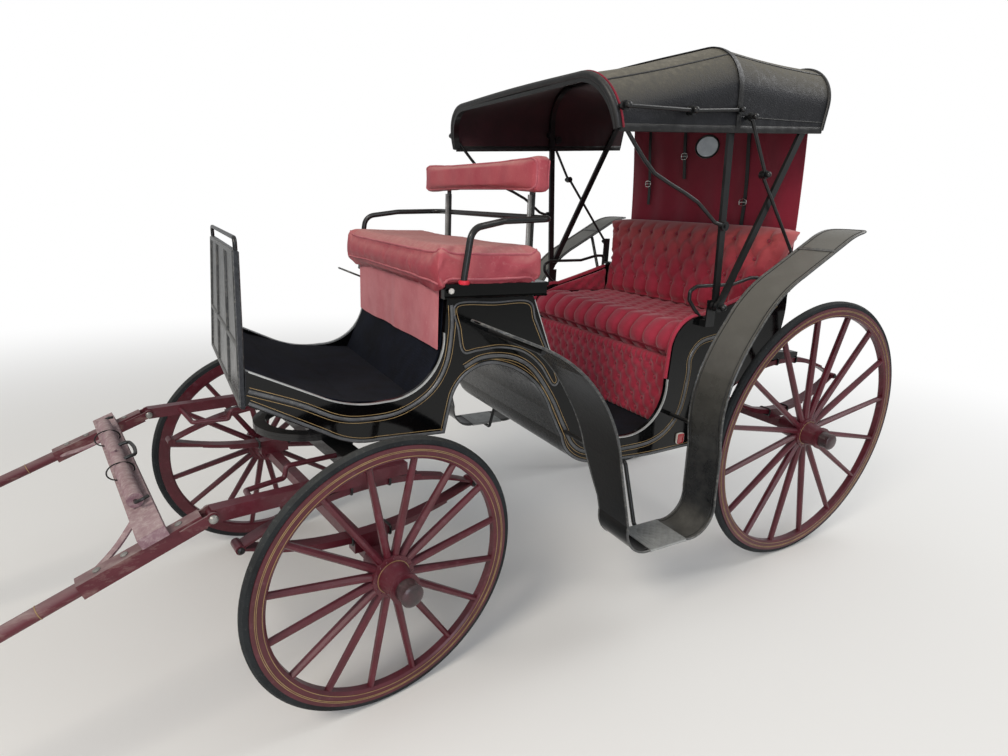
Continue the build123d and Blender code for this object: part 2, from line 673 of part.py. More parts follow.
def add_dash():
    """Leather dash panel and the rail above it."""
    low_x, low_z = DASH_BOTTOM
    top_x, top_z = DASH_TOP
    height = hypot(top_z - low_z, top_x - low_x)
    plane = Plane(
        origin=(low_x + 2, 0, low_z), x_dir=(0, 1, 0), z_dir=Vector(top_z - low_z, 0, low_x - top_x)
    )
    outline = Polyline(
        (-DASH_HALF_BOTTOM, 0), (DASH_HALF_BOTTOM, 0), (DASH_HALF_TOP, height), (-DASH_HALF_TOP, height), close=True
    )
    panel = extrude(plane * make_face(outline), amount=DASH_THICKNESS)
    keep("dash_panel", panel)
    rail_x = top_x + 2 + DASH_THICKNESS / 2
    foot_z = top_z + 2 * SOFT_GAP
    half = DASH_HALF_TOP - DASH_RAIL_RADIUS
    rail = round_bar(
        [(rail_x, -half, foot_z), (rail_x, -half, DASH_RAIL_Z), (rail_x, half, DASH_RAIL_Z), (rail_x, half, foot_z)],
        DASH_RAIL_RADIUS, 16)
    keep("dash_rail", rail)


def add_box_seat():
    """Coachman's cushion, apron, rail, backrest posts and pad."""
    base = BOOT_TOP_Z + PLINTH_HEIGHT
    length = BOX_CUSHION_FRONT_X - BOX_CUSHION_REAR_X
    cushion = Pos((BOX_CUSHION_FRONT_X + BOX_CUSHION_REAR_X) / 2, 0, base + BOX_CUSHION_HEIGHT / 2)
    cushion = cushion * Box(length, 2 * BOX_CUSHION_HALF, BOX_CUSHION_HEIGHT)
    cushion = fillet(cushion.edges(), 22)
    roll_rear = PLINTH_FRONT_X + CUSHION_ROLL_GAP
    roll = Pos((BOX_CUSHION_FRONT_X + roll_rear) / 2, 0, base - CUSHION_DROP + ROLL_HEIGHT / 2)
    roll = roll * Box(BOX_CUSHION_FRONT_X - roll_rear, 2 * BOX_CUSHION_HALF, ROLL_HEIGHT)
    cushion += fillet(roll.edges(), 15)
    keep("box_cushion", cushion)
    apron_high = base - 4
    apron = Pos(PLINTH_FRONT_X + SOFT_GAP + 3, 0, (APRON_LOW_Z + apron_high) / 2)
    keep("box_apron", apron * Box(6, 2 * APRON_HALF, apron_high - APRON_LOW_Z))
    rail_y = BOX_CUSHION_HALF + BOX_RAIL_RADIUS + 3
    rise_z = BOX_RAIL_Z - 33
    foot_x = PLINTH_FRONT_X - 30
    bend_x = PLINTH_FRONT_X - 182
    bend_y = BOX_RAIL_HALF + 22
    rail = round_bar(
        [(foot_x, rail_y, base + 4), (foot_x - 24, rail_y, rise_z), (bend_x, bend_y, BOX_RAIL_Z - 10),
         (BOX_RAIL_REAR_X, BOX_RAIL_HALF, BOX_RAIL_Z), (BOX_RAIL_REAR_X, -BOX_RAIL_HALF, BOX_RAIL_Z),
         (bend_x, -bend_y, BOX_RAIL_Z - 10), (foot_x - 24, -rail_y, rise_z), (foot_x, -rail_y, base + 4)],
        BOX_RAIL_RADIUS, 48)
    for side in (1, -1):
        post = Pos(BOX_RAIL_REAR_X + 8, side * POST_Y, (base + PAD_TOP_Z - 30) / 2)
        rail += post * Box(7, 26, PAD_TOP_Z - 30 - base)
    keep("box_rail", rail)
    pad = Pos(BOX_RAIL_REAR_X + 12 + PAD_THICKNESS / 2, 0, (PAD_BOTTOM_Z + PAD_TOP_Z) / 2)
    pad = pad * Box(PAD_THICKNESS, 2 * PAD_HALF, PAD_TOP_Z - PAD_BOTTOM_Z)
    keep("box_backrest_pad", fillet(pad.edges(), 20))


def add_passenger_seat():
    """Seat fall, cushion, leaning backrest and side squabs."""
    inside = plan_inside(2)
    fall_low = CARPET_Z + SOFT_GAP
    fall_high = SEAT_TOP_Z - 4
    rear_x = RISER_X + SOFT_GAP
    front_x = SEAT_FRONT_X - 2
    fall = upright(
        closed_face((rear_x, fall_low), (front_x, fall_low), (front_x, fall_high), (rear_x, fall_high)), -700, 700)
    keep("seat_fall", fall & inside)
    cushion = upright(
        closed_face((240, SEAT_TOP_Z), (SEAT_FRONT_X, SEAT_TOP_Z),
                    (SEAT_FRONT_X + 26, SEAT_TOP_Z + 60, SEAT_FRONT_X - 20, SEAT_TOP_Z + CUSHION_HEIGHT),
                    (240, SEAT_TOP_Z + CUSHION_HEIGHT)), -700, 700)
    keep("seat_cushion", cushion & inside)
    base = SEAT_TOP_Z + CUSHION_HEIGHT + SOFT_GAP
    low = Plane(origin=(275, 0, base)) * Rectangle(140, 2 * (TUB_HALF_WIDTH - SIDE_THICKNESS - 4))
    high = Plane(origin=(240, 0, BACKREST_TOP_Z)) * Rectangle(100, 2 * BACKREST_HALF_TOP)
    mid = Plane(origin=(265, 0, 1216)) * Rectangle(140, 2 * (TUB_HALF_WIDTH - SIDE_THICKNESS - 4))
    backrest = loft([low, mid], ruled=True) + loft([mid, high], ruled=True)
    keep("seat_backrest", backrest)
    band = plan_band(-SIDE_THICKNESS - SOFT_GAP, 22)
    squab = upright(closed_face((350, base), (740, base), (690, 1072), (640, 1090), (350, 1170)), 0, 700) & band
    keep("seat_squabs", squab, mirrored(squab))
    y = TUB_HALF_WIDTH - SIDE_THICKNESS / 2
    rail = round_bar(
        [(654, y, 1090), (690, y, 1122), (722, y, 1158), (722, y, 1190), (690, y, 1206), (500, y, 1209),
         (405, y, 1232), (356, y, 1232), (356, y, 1180)], ARM_RAIL_RADIUS, 14)
    rail -= upright(offset(side_outline(), SOFT_GAP), 0, 700)
    keep("arm_rails", rail, mirrored(rail))


def wing_path_rear():
    """Centre line of the rear mudguard from the step up and back over the wheel."""
    return chain(
        (STEP_X - STEP_LENGTH / 2 - SOFT_GAP, STEP_Z + WING_THICKNESS / 2),
        (776, 374, 749, 465),
        (754, 650),
        (768, 790, 743, 920),
        (702, 1008, 648, 1092),
        (560, 1198, 460, 1266),
        (344, 1331),
        (250, 1384),
        (172, 1418, 92, 1427),
    )


def wing_path_front():
    """Centre line of the front mudguard from the step up to its front end."""
    return chain(
        (STEP_X + STEP_LENGTH / 2, STEP_Z + WING_THICKNESS / 2),
        (KING_X - 878, 370, KING_X - 843, 460),
        (KING_X - 786, 692),
        (KING_X - 732, 851, KING_X - 621, 996),
        (KING_X - 545, 1053, KING_X - 460, 1096),
        (KING_X - 291, 1164),
    )


def wing_plan(*inner):
    """Plan of a mudguard: straight outer edge, shaped inner edge and a half round tip."""
    edges = chain(*inner)
    tip = edges[-1] @ 1
    start = edges[0] @ 0
    radius = (WING_OUTER_Y - tip.Y) / 2
    way = 1 if tip.X > start.X else -1
    edges.append(Edge.make_three_point_arc(
        tip, (tip.X + way * radius, tip.Y + radius, 0), (tip.X, WING_OUTER_Y, 0)))
    edges.append(Edge.make_line((tip.X, WING_OUTER_Y, 0), (start.X, WING_OUTER_Y, 0)))
    edges.append(Edge.make_line((start.X, WING_OUTER_Y, 0), start))
    return extrude(Face(Wire(edges)), amount=2300, dir=(0, 0, 1))


def against_wing(path, height, side):
    """Centre (x, z) of a bracket iron that lies against a mudguard where its path has a given height."""
    wire = Wire(path)
    low, high = 0.0, 1.0
    for _ in range(40):
        middle = (low + high) / 2
        if (wire @ middle).Y < height:
            low = middle
        else:
            high = middle
    point = wire @ low
    along = wire % low
    reach = side * (WING_THICKNESS / 2 + SOFT_GAP + WING_IRON_RADIUS)
    return point.X - along.Y * reach, point.Y + along.X * reach


def add_wings():
    """Mudguards, the step treads between them and their brackets."""
    middle = (WING_INNER_Y + WING_OUTER_Y) / 2
    width = WING_OUTER_Y - WING_INNER_Y
    broad = WING_OUTER_Y - WING_BROAD_Y
    rear = flat_bar(wing_path_rear(), width, WING_THICKNESS, middle)
    rear &= wing_plan((900, WING_INNER_Y), (170, WING_INNER_Y))
    front = flat_bar(wing_path_front(), broad, WING_THICKNESS, (WING_OUTER_Y + WING_BROAD_Y) / 2)
    front &= wing_plan(
        (STEP_X + 75, WING_INNER_Y), (KING_X - 829, WING_INNER_Y), (KING_X - 779, 552, KING_X - 724, WING_BROAD_Y + 3),
        (KING_X - 594, 545, KING_X - 474, 580), (KING_X - 372, WING_INNER_Y))
    keep("rear_wings", rear, mirrored(rear))
    keep("front_wings", front, mirrored(front))
    tread = Pos(STEP_X, middle, STEP_Z) * Box(STEP_LENGTH - 2 * SOFT_GAP, width, STEP_THICKNESS)
    keep("steps", tread, mirrored(tread))
    under_tread = STEP_Z - STEP_THICKNESS / 2 - WING_IRON_RADIUS - SOFT_GAP
    fall = (FLOOR_REAR[1] - FLOOR_BOTTOM_Z) / (FLOOR_FRONT_X - FLOOR_REAR[0])
    under_floor = FLOOR_BOTTOM_Z + fall * (FLOOR_FRONT_X - STEP_X) - WING_IRON_RADIUS - SOFT_GAP
    far = WING_OUTER_Y - 20
    step_iron = round_bar(
        [(STEP_X, 400, under_floor), (STEP_X, 492, under_floor), (STEP_X, 575, under_tread), (STEP_X, far, under_tread)],
        WING_IRON_RADIUS, 20)
    brackets = [step_iron, mirrored(step_iron)]
    body_space = plan_inside(-SIDE_THICKNESS - SOFT_GAP)
    top_x, top_z = against_wing(wing_path_rear(), 1331, 1)
    paths = [[(top_x, 440, 1150), (top_x, 545, 1150), (top_x, 622, top_z), (top_x, far, top_z)]]
    for path, height, side in (
        (wing_path_rear(), 720, 1), (wing_path_front(), 690, 1), (wing_path_front(), 1086, -1),
    ):
        x, z = against_wing(path, height, side)
        paths.append([(x, 400, z), (x, far, z)])
    for path in paths:
        bar = round_bar(path, WING_IRON_RADIUS, 20) - body_space
        brackets.extend([bar, mirrored(bar)])
    keep("wing_irons", *brackets)


# Hood
def bow_plane(top):
    """Plane through the hood pivot and a bow's top; its y runs up the bow."""
    direction = Vector(top[0] - PIVOT_X, 0, top[1] - PIVOT_Z)
    return Plane(origin=(PIVOT_X, 0, PIVOT_Z), x_dir=(0, 1, 0), z_dir=Vector(0, 1, 0).cross(direction))


def make_bow(top, half):
    """Arched bow with two straight legs down to the pivot."""
    reach = hypot(top[0] - PIVOT_X, top[1] - PIVOT_Z)
    plane = bow_plane(top)
    path = FilletPolyline((-half, 0), (-half, reach), (half, reach), (half, 0), radius=BOW_CORNER)
    section = Plane(origin=(-half, 0, 0), x_dir=(1, 0, 0), z_dir=(0, 1, 0)) * Rectangle(BOW_THICKNESS, BOW_WIDTH)
    bow = sweep(section, path=path)
    for side in (1, -1):
        bow += Pos(side * half, 0, 0) * (Rot(0, 90, 0) * Cylinder(20, BOW_THICKNESS))
        bow -= Pos(side * half, 0, 0) * (Rot(0, 90, 0) * Cylinder(PIVOT_PIN + RUNNING_FIT, 2 * BOW_THICKNESS))
    return plane.location * bow


def hood_section(plane, half, low, high, corner, grow):
    """Closed arch section of the hood: straight valances, rounded shoulders and a flat crown."""
    w = half + grow
    top = high + grow
    base = low if grow > 0 else low - 40
    radius = corner
    k = radius * (1 - sqrt(0.5))
    edges = [
        Edge.make_line((-w, base, 0), (-w, top - radius, 0)),
        Edge.make_three_point_arc((-w, top - radius, 0), (-w + k, top - k, 0), (-w + radius, top, 0)),
        Edge.make_line((-w + radius, top, 0), (w - radius, top, 0)),
        Edge.make_three_point_arc((w - radius, top, 0), (w - k, top - k, 0), (w, top - radius, 0)),
        Edge.make_line((w, top - radius, 0), (w, base, 0)),
        Edge.make_line((w, base, 0), (-w, base, 0)),
    ]
    return plane.location * Face(Wire(edges))


def hood_stations():
    """Planes, valance heights and crown heights at the rim, the main bow and the rear edge."""
    rim = Vector(RIM_TOP[0] - RIM_LOW[0], 0, RIM_TOP[1] - RIM_LOW[1])
    rim_plane = Plane(origin=(RIM_LOW[0] + 20, 0, RIM_LOW[1]), x_dir=(0, 1, 0), z_dir=Vector(0, 1, 0).cross(rim))
    main_plane = bow_plane(MAIN_TOP)
    rear_edge = Vector(REAR_TOP[0] - BOW_WIDTH / 2 - 6 - LEATHER_REAR_X, 0, REAR_TOP[1] + 14 - VALANCE_REAR_Z)
    rear_plane = Plane(
        origin=(LEATHER_REAR_X, 0, VALANCE_REAR_Z), x_dir=(0, 1, 0), z_dir=Vector(0, 1, 0).cross(rear_edge))
    main_reach = hypot(MAIN_TOP[0] - PIVOT_X, MAIN_TOP[1] - PIVOT_Z)
    main_scale = main_reach / (MAIN_TOP[1] - PIVOT_Z)
    return [
        (rim_plane, -5.0, rim.length + 11),
        (main_plane, (VALANCE_MAIN_Z - PIVOT_Z) * main_scale, main_reach + 11),
        (rear_plane, 0.0, rear_edge.length),
    ]


def leather(first, second, half):
    """Leather roof between two hood stations, open below."""
    outer = [hood_section(p, half, low, high, BOW_CORNER, LEATHER) for p, low, high in (first, second)]
    inner = [hood_section(p, half, low, high, BOW_CORNER, 0) for p, low, high in (first, second)]
    return loft(outer, ruled=True) - loft(inner, ruled=True)


def add_hood():
    """Folding hood: three bows, leather, back curtain with its window, and the jointed irons."""
    main = make_bow(MAIN_TOP, MAIN_BOW_HALF)
    face_y = MAIN_BOW_HALF + BOW_THICKNESS / 2
    for side in (1, -1):
        main += cross_pin(*FRONT_JOINT, JOINT_PIN, side * (face_y - 2), side * (REAR_BOW_HALF + 12))
        for point, pin_end in ((PROP_HEAD, IRON_Y + 24), (TOP_IRON_REAR, IRON_Y + IRON_RADIUS)):
            main += cross_pin(*point, JOINT_PIN, side * (face_y - BOW_THICKNESS), side * pin_end)
            main += cross_pin(*point, JOINT_PIN + 10, side * (face_y - BOW_THICKNESS), side * face_y)
    keep("hood_main_bow", main)
    keep("hood_rear_bow", make_bow(REAR_TOP, REAR_BOW_HALF))
    stations = hood_stations()
    leg_y = REAR_BOW_HALF
    front = None
    for side in (1, -1):
        leg = round_bar(
            [(FRONT_JOINT[0], side * leg_y, FRONT_JOINT[1]),
             *[(x, side * leg_y, z) for x, z in FRONT_LEG],
             (RIM_LOW[0] + 10, side * leg_y, RIM_LOW[1] + 20)], FRONT_LEG_RADIUS, 40)
        leg += cross_pin(*FRONT_JOINT, 17, side * leg_y - 7, side * leg_y + 7)
        leg -= cross_pin(*FRONT_JOINT, JOINT_PIN + RUNNING_FIT, side * leg_y - 20, side * leg_y + 20)
        leg += cross_pin(*TOP_IRON_FRONT, JOINT_PIN, side * leg_y, side * (IRON_Y + 24))
        front = leg if front is None else front + leg
    rim_plane, low, high = stations[0]
    arch = FilletPolyline(
        (-leg_y, RIM_FOOT), (-leg_y, high - 11), (leg_y, high - 11), (leg_y, RIM_FOOT), radius=BOW_CORNER)
    rim_foot = Plane(origin=(-leg_y, RIM_FOOT, 0), x_dir=(1, 0, 0), z_dir=(0, 1, 0))
    section = rim_foot * Rectangle(BOW_THICKNESS, BOW_WIDTH)
    front += rim_plane.location * sweep(section, path=arch)
    keep("hood_front_bow", front)
    skin_half = REAR_BOW_HALF + BOW_THICKNESS / 2 + 1
    front_roof = leather(stations[0], stations[1], skin_half)
    rear_roof = leather(stations[1], stations[2], skin_half)
    for side in (1, -1):
        for point in (PROP_HEAD, TOP_IRON_REAR, TOP_IRON_FRONT):
            hole = cross_pin(*point, JOINT_PIN + SOFT_GAP, side * 500, side * 640)
            front_roof -= hole
            rear_roof -= hole
    keep("hood_roof_front", front_roof)
    keep("hood_roof_rear", rear_roof)
    across = Plane(origin=(0, 0, WINDOW_Z), x_dir=(0, 1, 0), z_dir=(1, 0, 0))
    pane = extrude(across.offset(206) * Ellipse(WINDOW_HALF[0], WINDOW_HALF[1]), amount=5)
    gap = extrude(across.offset(150) * Ellipse(WINDOW_HALF[0] + SOFT_GAP, WINDOW_HALF[1] + SOFT_GAP), amount=100)
    half = CURTAIN_HALF
    curtain = upright(closed_face((171, 1190), (175, 1190), (224, 1970), (220, 1970)), -half, half)
    arch = Plane(origin=(0, 0, 0), x_dir=(0, 1, 0), z_dir=(1, 0, 0)) * make_face(FilletPolyline(
        (-half, 1100), (-half, 1970), (half, 1970), (half, 1100), radius=CURTAIN_CORNER, close=True))
    curtain &= extrude(arch, amount=400)
    keep("hood_curtain", curtain - gap)
    keep("hood_window", pane)
    add_hood_pivots()
    irons()


def add_hood_pivots():
    """Brackets on the body sides with the pins that carry the bows, and the feet of the props."""
    wall = TUB_HALF_WIDTH + SOFT_GAP
    half_plate = 3
    plate_y = MAIN_BOW_HALF - BOW_THICKNESS / 2 - BOW_CLEARANCE - half_plate
    width = 44
    outer = plate_y + half_plate
    arm = Pos(PIVOT_X, (wall + outer) / 2, PIVOT_Z - 68) * Box(width, outer - wall, 24)
    plate = Pos(PIVOT_X, plate_y, PIVOT_Z - 30) * Box(width, 2 * half_plate, 100)
    pin = cross_pin(PIVOT_X, PIVOT_Z, PIVOT_PIN, plate_y - half_plate, REAR_BOW_HALF + 14)
    pivot = arm + plate + pin
    foot_x, foot_z = PROP_FOOT
    width = 36
    plate_y = IRON_Y - IRON_RADIUS - 10
    outer = plate_y + half_plate
    arm = Pos(foot_x, (wall + outer) / 2, foot_z - 110) * Box(width, outer - wall, 12)
    plate = Pos(foot_x, plate_y, foot_z - 50) * Box(width, 2 * half_plate, 132)
    pin = cross_pin(foot_x, foot_z, JOINT_PIN, plate_y, IRON_Y + IRON_RADIUS + 3)
    foot = arm + plate + pin
    keep("hood_pivots", pivot, mirrored(pivot), foot, mirrored(foot))


def flat_link(start, end, y):
    """A round iron with an eye at each end."""
    run = Vector(end[0] - start[0], 0, end[1] - start[1])
    trim = run.normalized() * (JOINT_PIN + 3)
    bar = Line(Vector(start[0], y, start[1]) + trim, Vector(end[0], y, end[1]) - trim)
    section = Plane(origin=bar @ 0, z_dir=bar % 0) * Circle(IRON_RADIUS)
    link = sweep(section, path=bar)
    for point in (start, end):
        link += cross_pin(*point, KNUCKLE_RADIUS, y - IRON_RADIUS + 1, y + IRON_RADIUS - 1)
    link -= cross_pin(*start, JOINT_PIN + RUNNING_FIT, y - 20, y + 20)
    return link


def irons():
    """Jointed prop and top irons; neighbouring links lie side by side at each knuckle."""
    near = IRON_Y
    far = IRON_Y + 2 * IRON_RADIUS + LINK_GAP
    table = [
        ("prop_lower", PROP_FOOT, PROP_KNUCKLE, near),
        ("prop_upper", PROP_HEAD, PROP_KNUCKLE, far),
        ("top_iron_rear", TOP_IRON_REAR, TOP_IRON_KNUCKLE, near),
        ("top_iron_front", TOP_IRON_FRONT, TOP_IRON_KNUCKLE, far),
    ]
    for name, start, end, y in table:
        link = flat_link(start, end, y)
        keep(name, link, mirrored(link))


REST = Location((0, 0, 0))
FORE = Pos(WHEELBASE, 0, 0) * Rot(0, 0, PARKED_STEER)

add_wheels()
add_axles_and_springs()
add_shafts(add_front_carriage())
add_body()
add_dash()
add_box_seat()
add_passenger_seat()
add_wings()
add_hood()

bounds = Compound([solid for piece in PIECES.values() for solid in piece.solids()]).bounding_box()
MOVE = Pos(-(bounds.min.X + bounds.max.X) / 2, 0, TYRE_THICKNESS)
for node, piece in PIECES.items():
    export_step(MOVE * piece, "parts/" + node + ".step")
print("nodes", len(PIECES), "middle X", round((bounds.min.X + bounds.max.X) / 2, 3))
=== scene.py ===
import math
import bmesh
import bpy
import numpy as np
from mathutils import Matrix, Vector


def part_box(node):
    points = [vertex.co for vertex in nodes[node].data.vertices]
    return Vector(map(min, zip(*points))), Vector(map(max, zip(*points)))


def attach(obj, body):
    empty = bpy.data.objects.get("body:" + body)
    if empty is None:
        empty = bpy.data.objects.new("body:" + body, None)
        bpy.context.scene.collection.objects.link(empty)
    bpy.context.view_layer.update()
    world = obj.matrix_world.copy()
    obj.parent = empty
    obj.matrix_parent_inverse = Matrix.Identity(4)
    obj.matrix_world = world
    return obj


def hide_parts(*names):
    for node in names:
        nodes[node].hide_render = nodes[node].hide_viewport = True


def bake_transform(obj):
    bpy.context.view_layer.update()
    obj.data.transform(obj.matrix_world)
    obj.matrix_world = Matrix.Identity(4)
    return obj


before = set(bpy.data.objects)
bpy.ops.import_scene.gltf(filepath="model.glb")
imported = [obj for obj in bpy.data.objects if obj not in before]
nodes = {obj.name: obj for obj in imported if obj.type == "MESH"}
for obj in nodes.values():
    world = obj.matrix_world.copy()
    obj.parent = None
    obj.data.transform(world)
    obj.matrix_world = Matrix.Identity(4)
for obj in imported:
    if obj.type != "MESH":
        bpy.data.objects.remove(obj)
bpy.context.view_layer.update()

# Drawing frame, metres: x forward from the rear axle, y to the left, z up from the rims of the wheels.
tyreLow, tyreHigh = (np.array(corner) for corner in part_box("tyre_rear_left"))
drawingOrigin = np.array(((tyreLow[0] + tyreHigh[0]) / 2, 0.0, 0.022))
wheelbase = 1.994
parkedSteer = math.radians(8.4)


def linear(hexColour):
    # An sRGB hex colour as linear red, green, blue and alpha.
    value = np.array([int(hexColour[i:i + 2], 16) / 255 for i in (1, 3, 5)])
    low = value / 12.92
    high = ((value + 0.055) / 1.055) ** 2.4
    return (*np.where(value <= 0.04045, low, high).tolist(), 1.0)


# Camera at the photograph's place
camera = {"place": (2.42983, 2.10322, 1.46002), "yaw": -2.09601, "pitch": 0.27338, "roll": -0.04363, "lens": 21.852}
cy, sy = math.cos(camera["yaw"]), math.sin(camera["yaw"])
cp, sp = math.cos(camera["pitch"]), math.sin(camera["pitch"])
cr, sr = math.cos(camera["roll"]), math.sin(camera["roll"])
forward = np.array((cy * cp, sy * cp, -sp))
right = np.array((sy, -cy, 0.0))
down = np.cross(forward, right)
right, down = cr * right + sr * down, -sr * right + cr * down
lensData = bpy.data.cameras.new("photoCamera")
lensData.lens = camera["lens"]
lensData.sensor_width = 36.0
lensData.clip_end = 100.0
cameraObject = bpy.data.objects.new("photoCamera", lensData)
bpy.context.collection.objects.link(cameraObject)
turn = np.eye(4)
turn[:3, 0], turn[:3, 1], turn[:3, 2] = right, -down, -forward
turn[:3, 3] = np.array(camera["place"]) + drawingOrigin
cameraObject.matrix_world = Matrix(turn.tolist())
bpy.context.scene.camera = cameraObject
bpy.context.scene.view_settings.view_transform = "Standard"
print("camera set")


# Light and floor
studio = {"floor": "#eeedea", "floorRough": 0.9, "floorHalf": 30, "fadeFrom": 2.2, "fadeTo": 6.5,
          "sky": "#eef0f2", "skyStrength": 0.55, "backdrop": "#ffffff"}
# Each lamp: its place, the point it faces, its diameter, power and colour
lamps = {"keyLamp": ((4.6, 3.2, 5.6), (0.0, 0.0, 0.8), 2.6, 260.0, "#fff6ea"),
         "fillLamp": ((1.0, 6.0, 2.6), (0.0, 0.0, 0.8), 3.5, 90.0, "#eef3ff"),
         "backLamp": ((-4.5, 1.0, 4.5), (0.0, 0.0, 1.0), 3.0, 90.0, "#ffffff")}


def addNode(tree, kind, settings=None, inputs=None):
    # Adds a node, sets its properties, and gives each named input a value or a link.
    made = tree.nodes.new(kind)
    for key, value in (settings or {}).items():
        setattr(made, key, value)
    for key, value in (inputs or {}).items():
        socket = made.inputs[key]
        if isinstance(value, bpy.types.NodeSocket):
            tree.links.new(value, socket)
        else:
            socket.default_value = value
    return made


def areaLamp(name, place, aim, size, power, colour):
    # A round lamp whose own z axis points away from what it lights.
    data = bpy.data.lights.new(name, "AREA")
    data.shape, data.size, data.energy, data.color = "DISK", size, power, linear(colour)[:3]
    lamp = bpy.data.objects.new(name, data)
    bpy.context.collection.objects.link(lamp)
    away = np.array(place, float) - np.array(aim, float)
    away /= np.linalg.norm(away)
    side = np.cross((0.0, 0.0, 1.0), away)
    side /= np.linalg.norm(side)
    turn = np.eye(4)
    turn[:3, 0], turn[:3, 1], turn[:3, 2], turn[:3, 3] = side, np.cross(away, side), away, place
    lamp.matrix_world = Matrix(turn.tolist())


world = bpy.data.worlds.new("studio")
bpy.context.scene.world = world
world.use_nodes = True
tree = world.node_tree
tree.nodes.clear()
rays = addNode(tree, "ShaderNodeLightPath")
light = addNode(tree, "ShaderNodeBackground", None, {"Color": linear(studio["sky"]), "Strength": studio["skyStrength"]})
seen = addNode(tree, "ShaderNodeBackground", None, {"Color": linear(studio["backdrop"]), "Strength": 1.0})
mixed = addNode(tree, "ShaderNodeMixShader", None,
                {0: rays.outputs["Is Camera Ray"], 1: light.outputs[0], 2: seen.outputs[0]})
addNode(tree, "ShaderNodeOutputWorld", None, {"Surface": mixed.outputs[0]})
for lampName, lampSetting in lamps.items():
    areaLamp(lampName, *lampSetting)

floorMaterial = bpy.data.materials.new("paleFloor")
floorMaterial.use_nodes = True
tree = floorMaterial.node_tree
floorShader = tree.nodes["Principled BSDF"]
floorShader.inputs["Base Color"].default_value = linear(studio["floor"])
floorShader.inputs["Roughness"].default_value = studio["floorRough"]
# Far from the carriage the floor is seen as white as the backdrop, for camera rays only
away = addNode(tree, "ShaderNodeVectorMath", {"operation": "LENGTH"},
               {0: addNode(tree, "ShaderNodeTexCoord").outputs["Object"]})
fade = addNode(tree, "ShaderNodeMapRange", {"interpolation_type": "SMOOTHSTEP"},
               {"Value": away.outputs["Value"], "From Min": studio["fadeFrom"], "From Max": studio["fadeTo"]})
share = addNode(tree, "ShaderNodeMath", {"operation": "MULTIPLY"},
                {0: fade.outputs[0], 1: addNode(tree, "ShaderNodeLightPath").outputs["Is Camera Ray"]})
white = addNode(tree, "ShaderNodeEmission", None, {"Color": linear(studio["backdrop"]), "Strength": 1.0})
blended = addNode(tree, "ShaderNodeMixShader", None,
                  {0: share.outputs[0], 1: floorShader.outputs[0], 2: white.outputs[0]})
tree.links.new(blended.outputs[0], tree.nodes["Material Output"].inputs["Surface"])
floorMesh = bpy.data.meshes.new("floor")
far = studio["floorHalf"]
floorMesh.from_pydata([(-far, -far, 0), (far, -far, 0), (far, far, 0), (-far, far, 0)], [], [(0, 1, 2, 3)])
floorMesh.materials.append(floorMaterial)
floor = bpy.data.objects.new("floor", floorMesh)
bpy.context.collection.objects.link(floor)
print("light and floor set")


# Materials. Every pattern's size is in millimetres and reads Object coordinates.
def perMetre(millimetres):
    # Blender's noise repeats about once per unit divided by its scale.
    return 1000.0 / millimetres


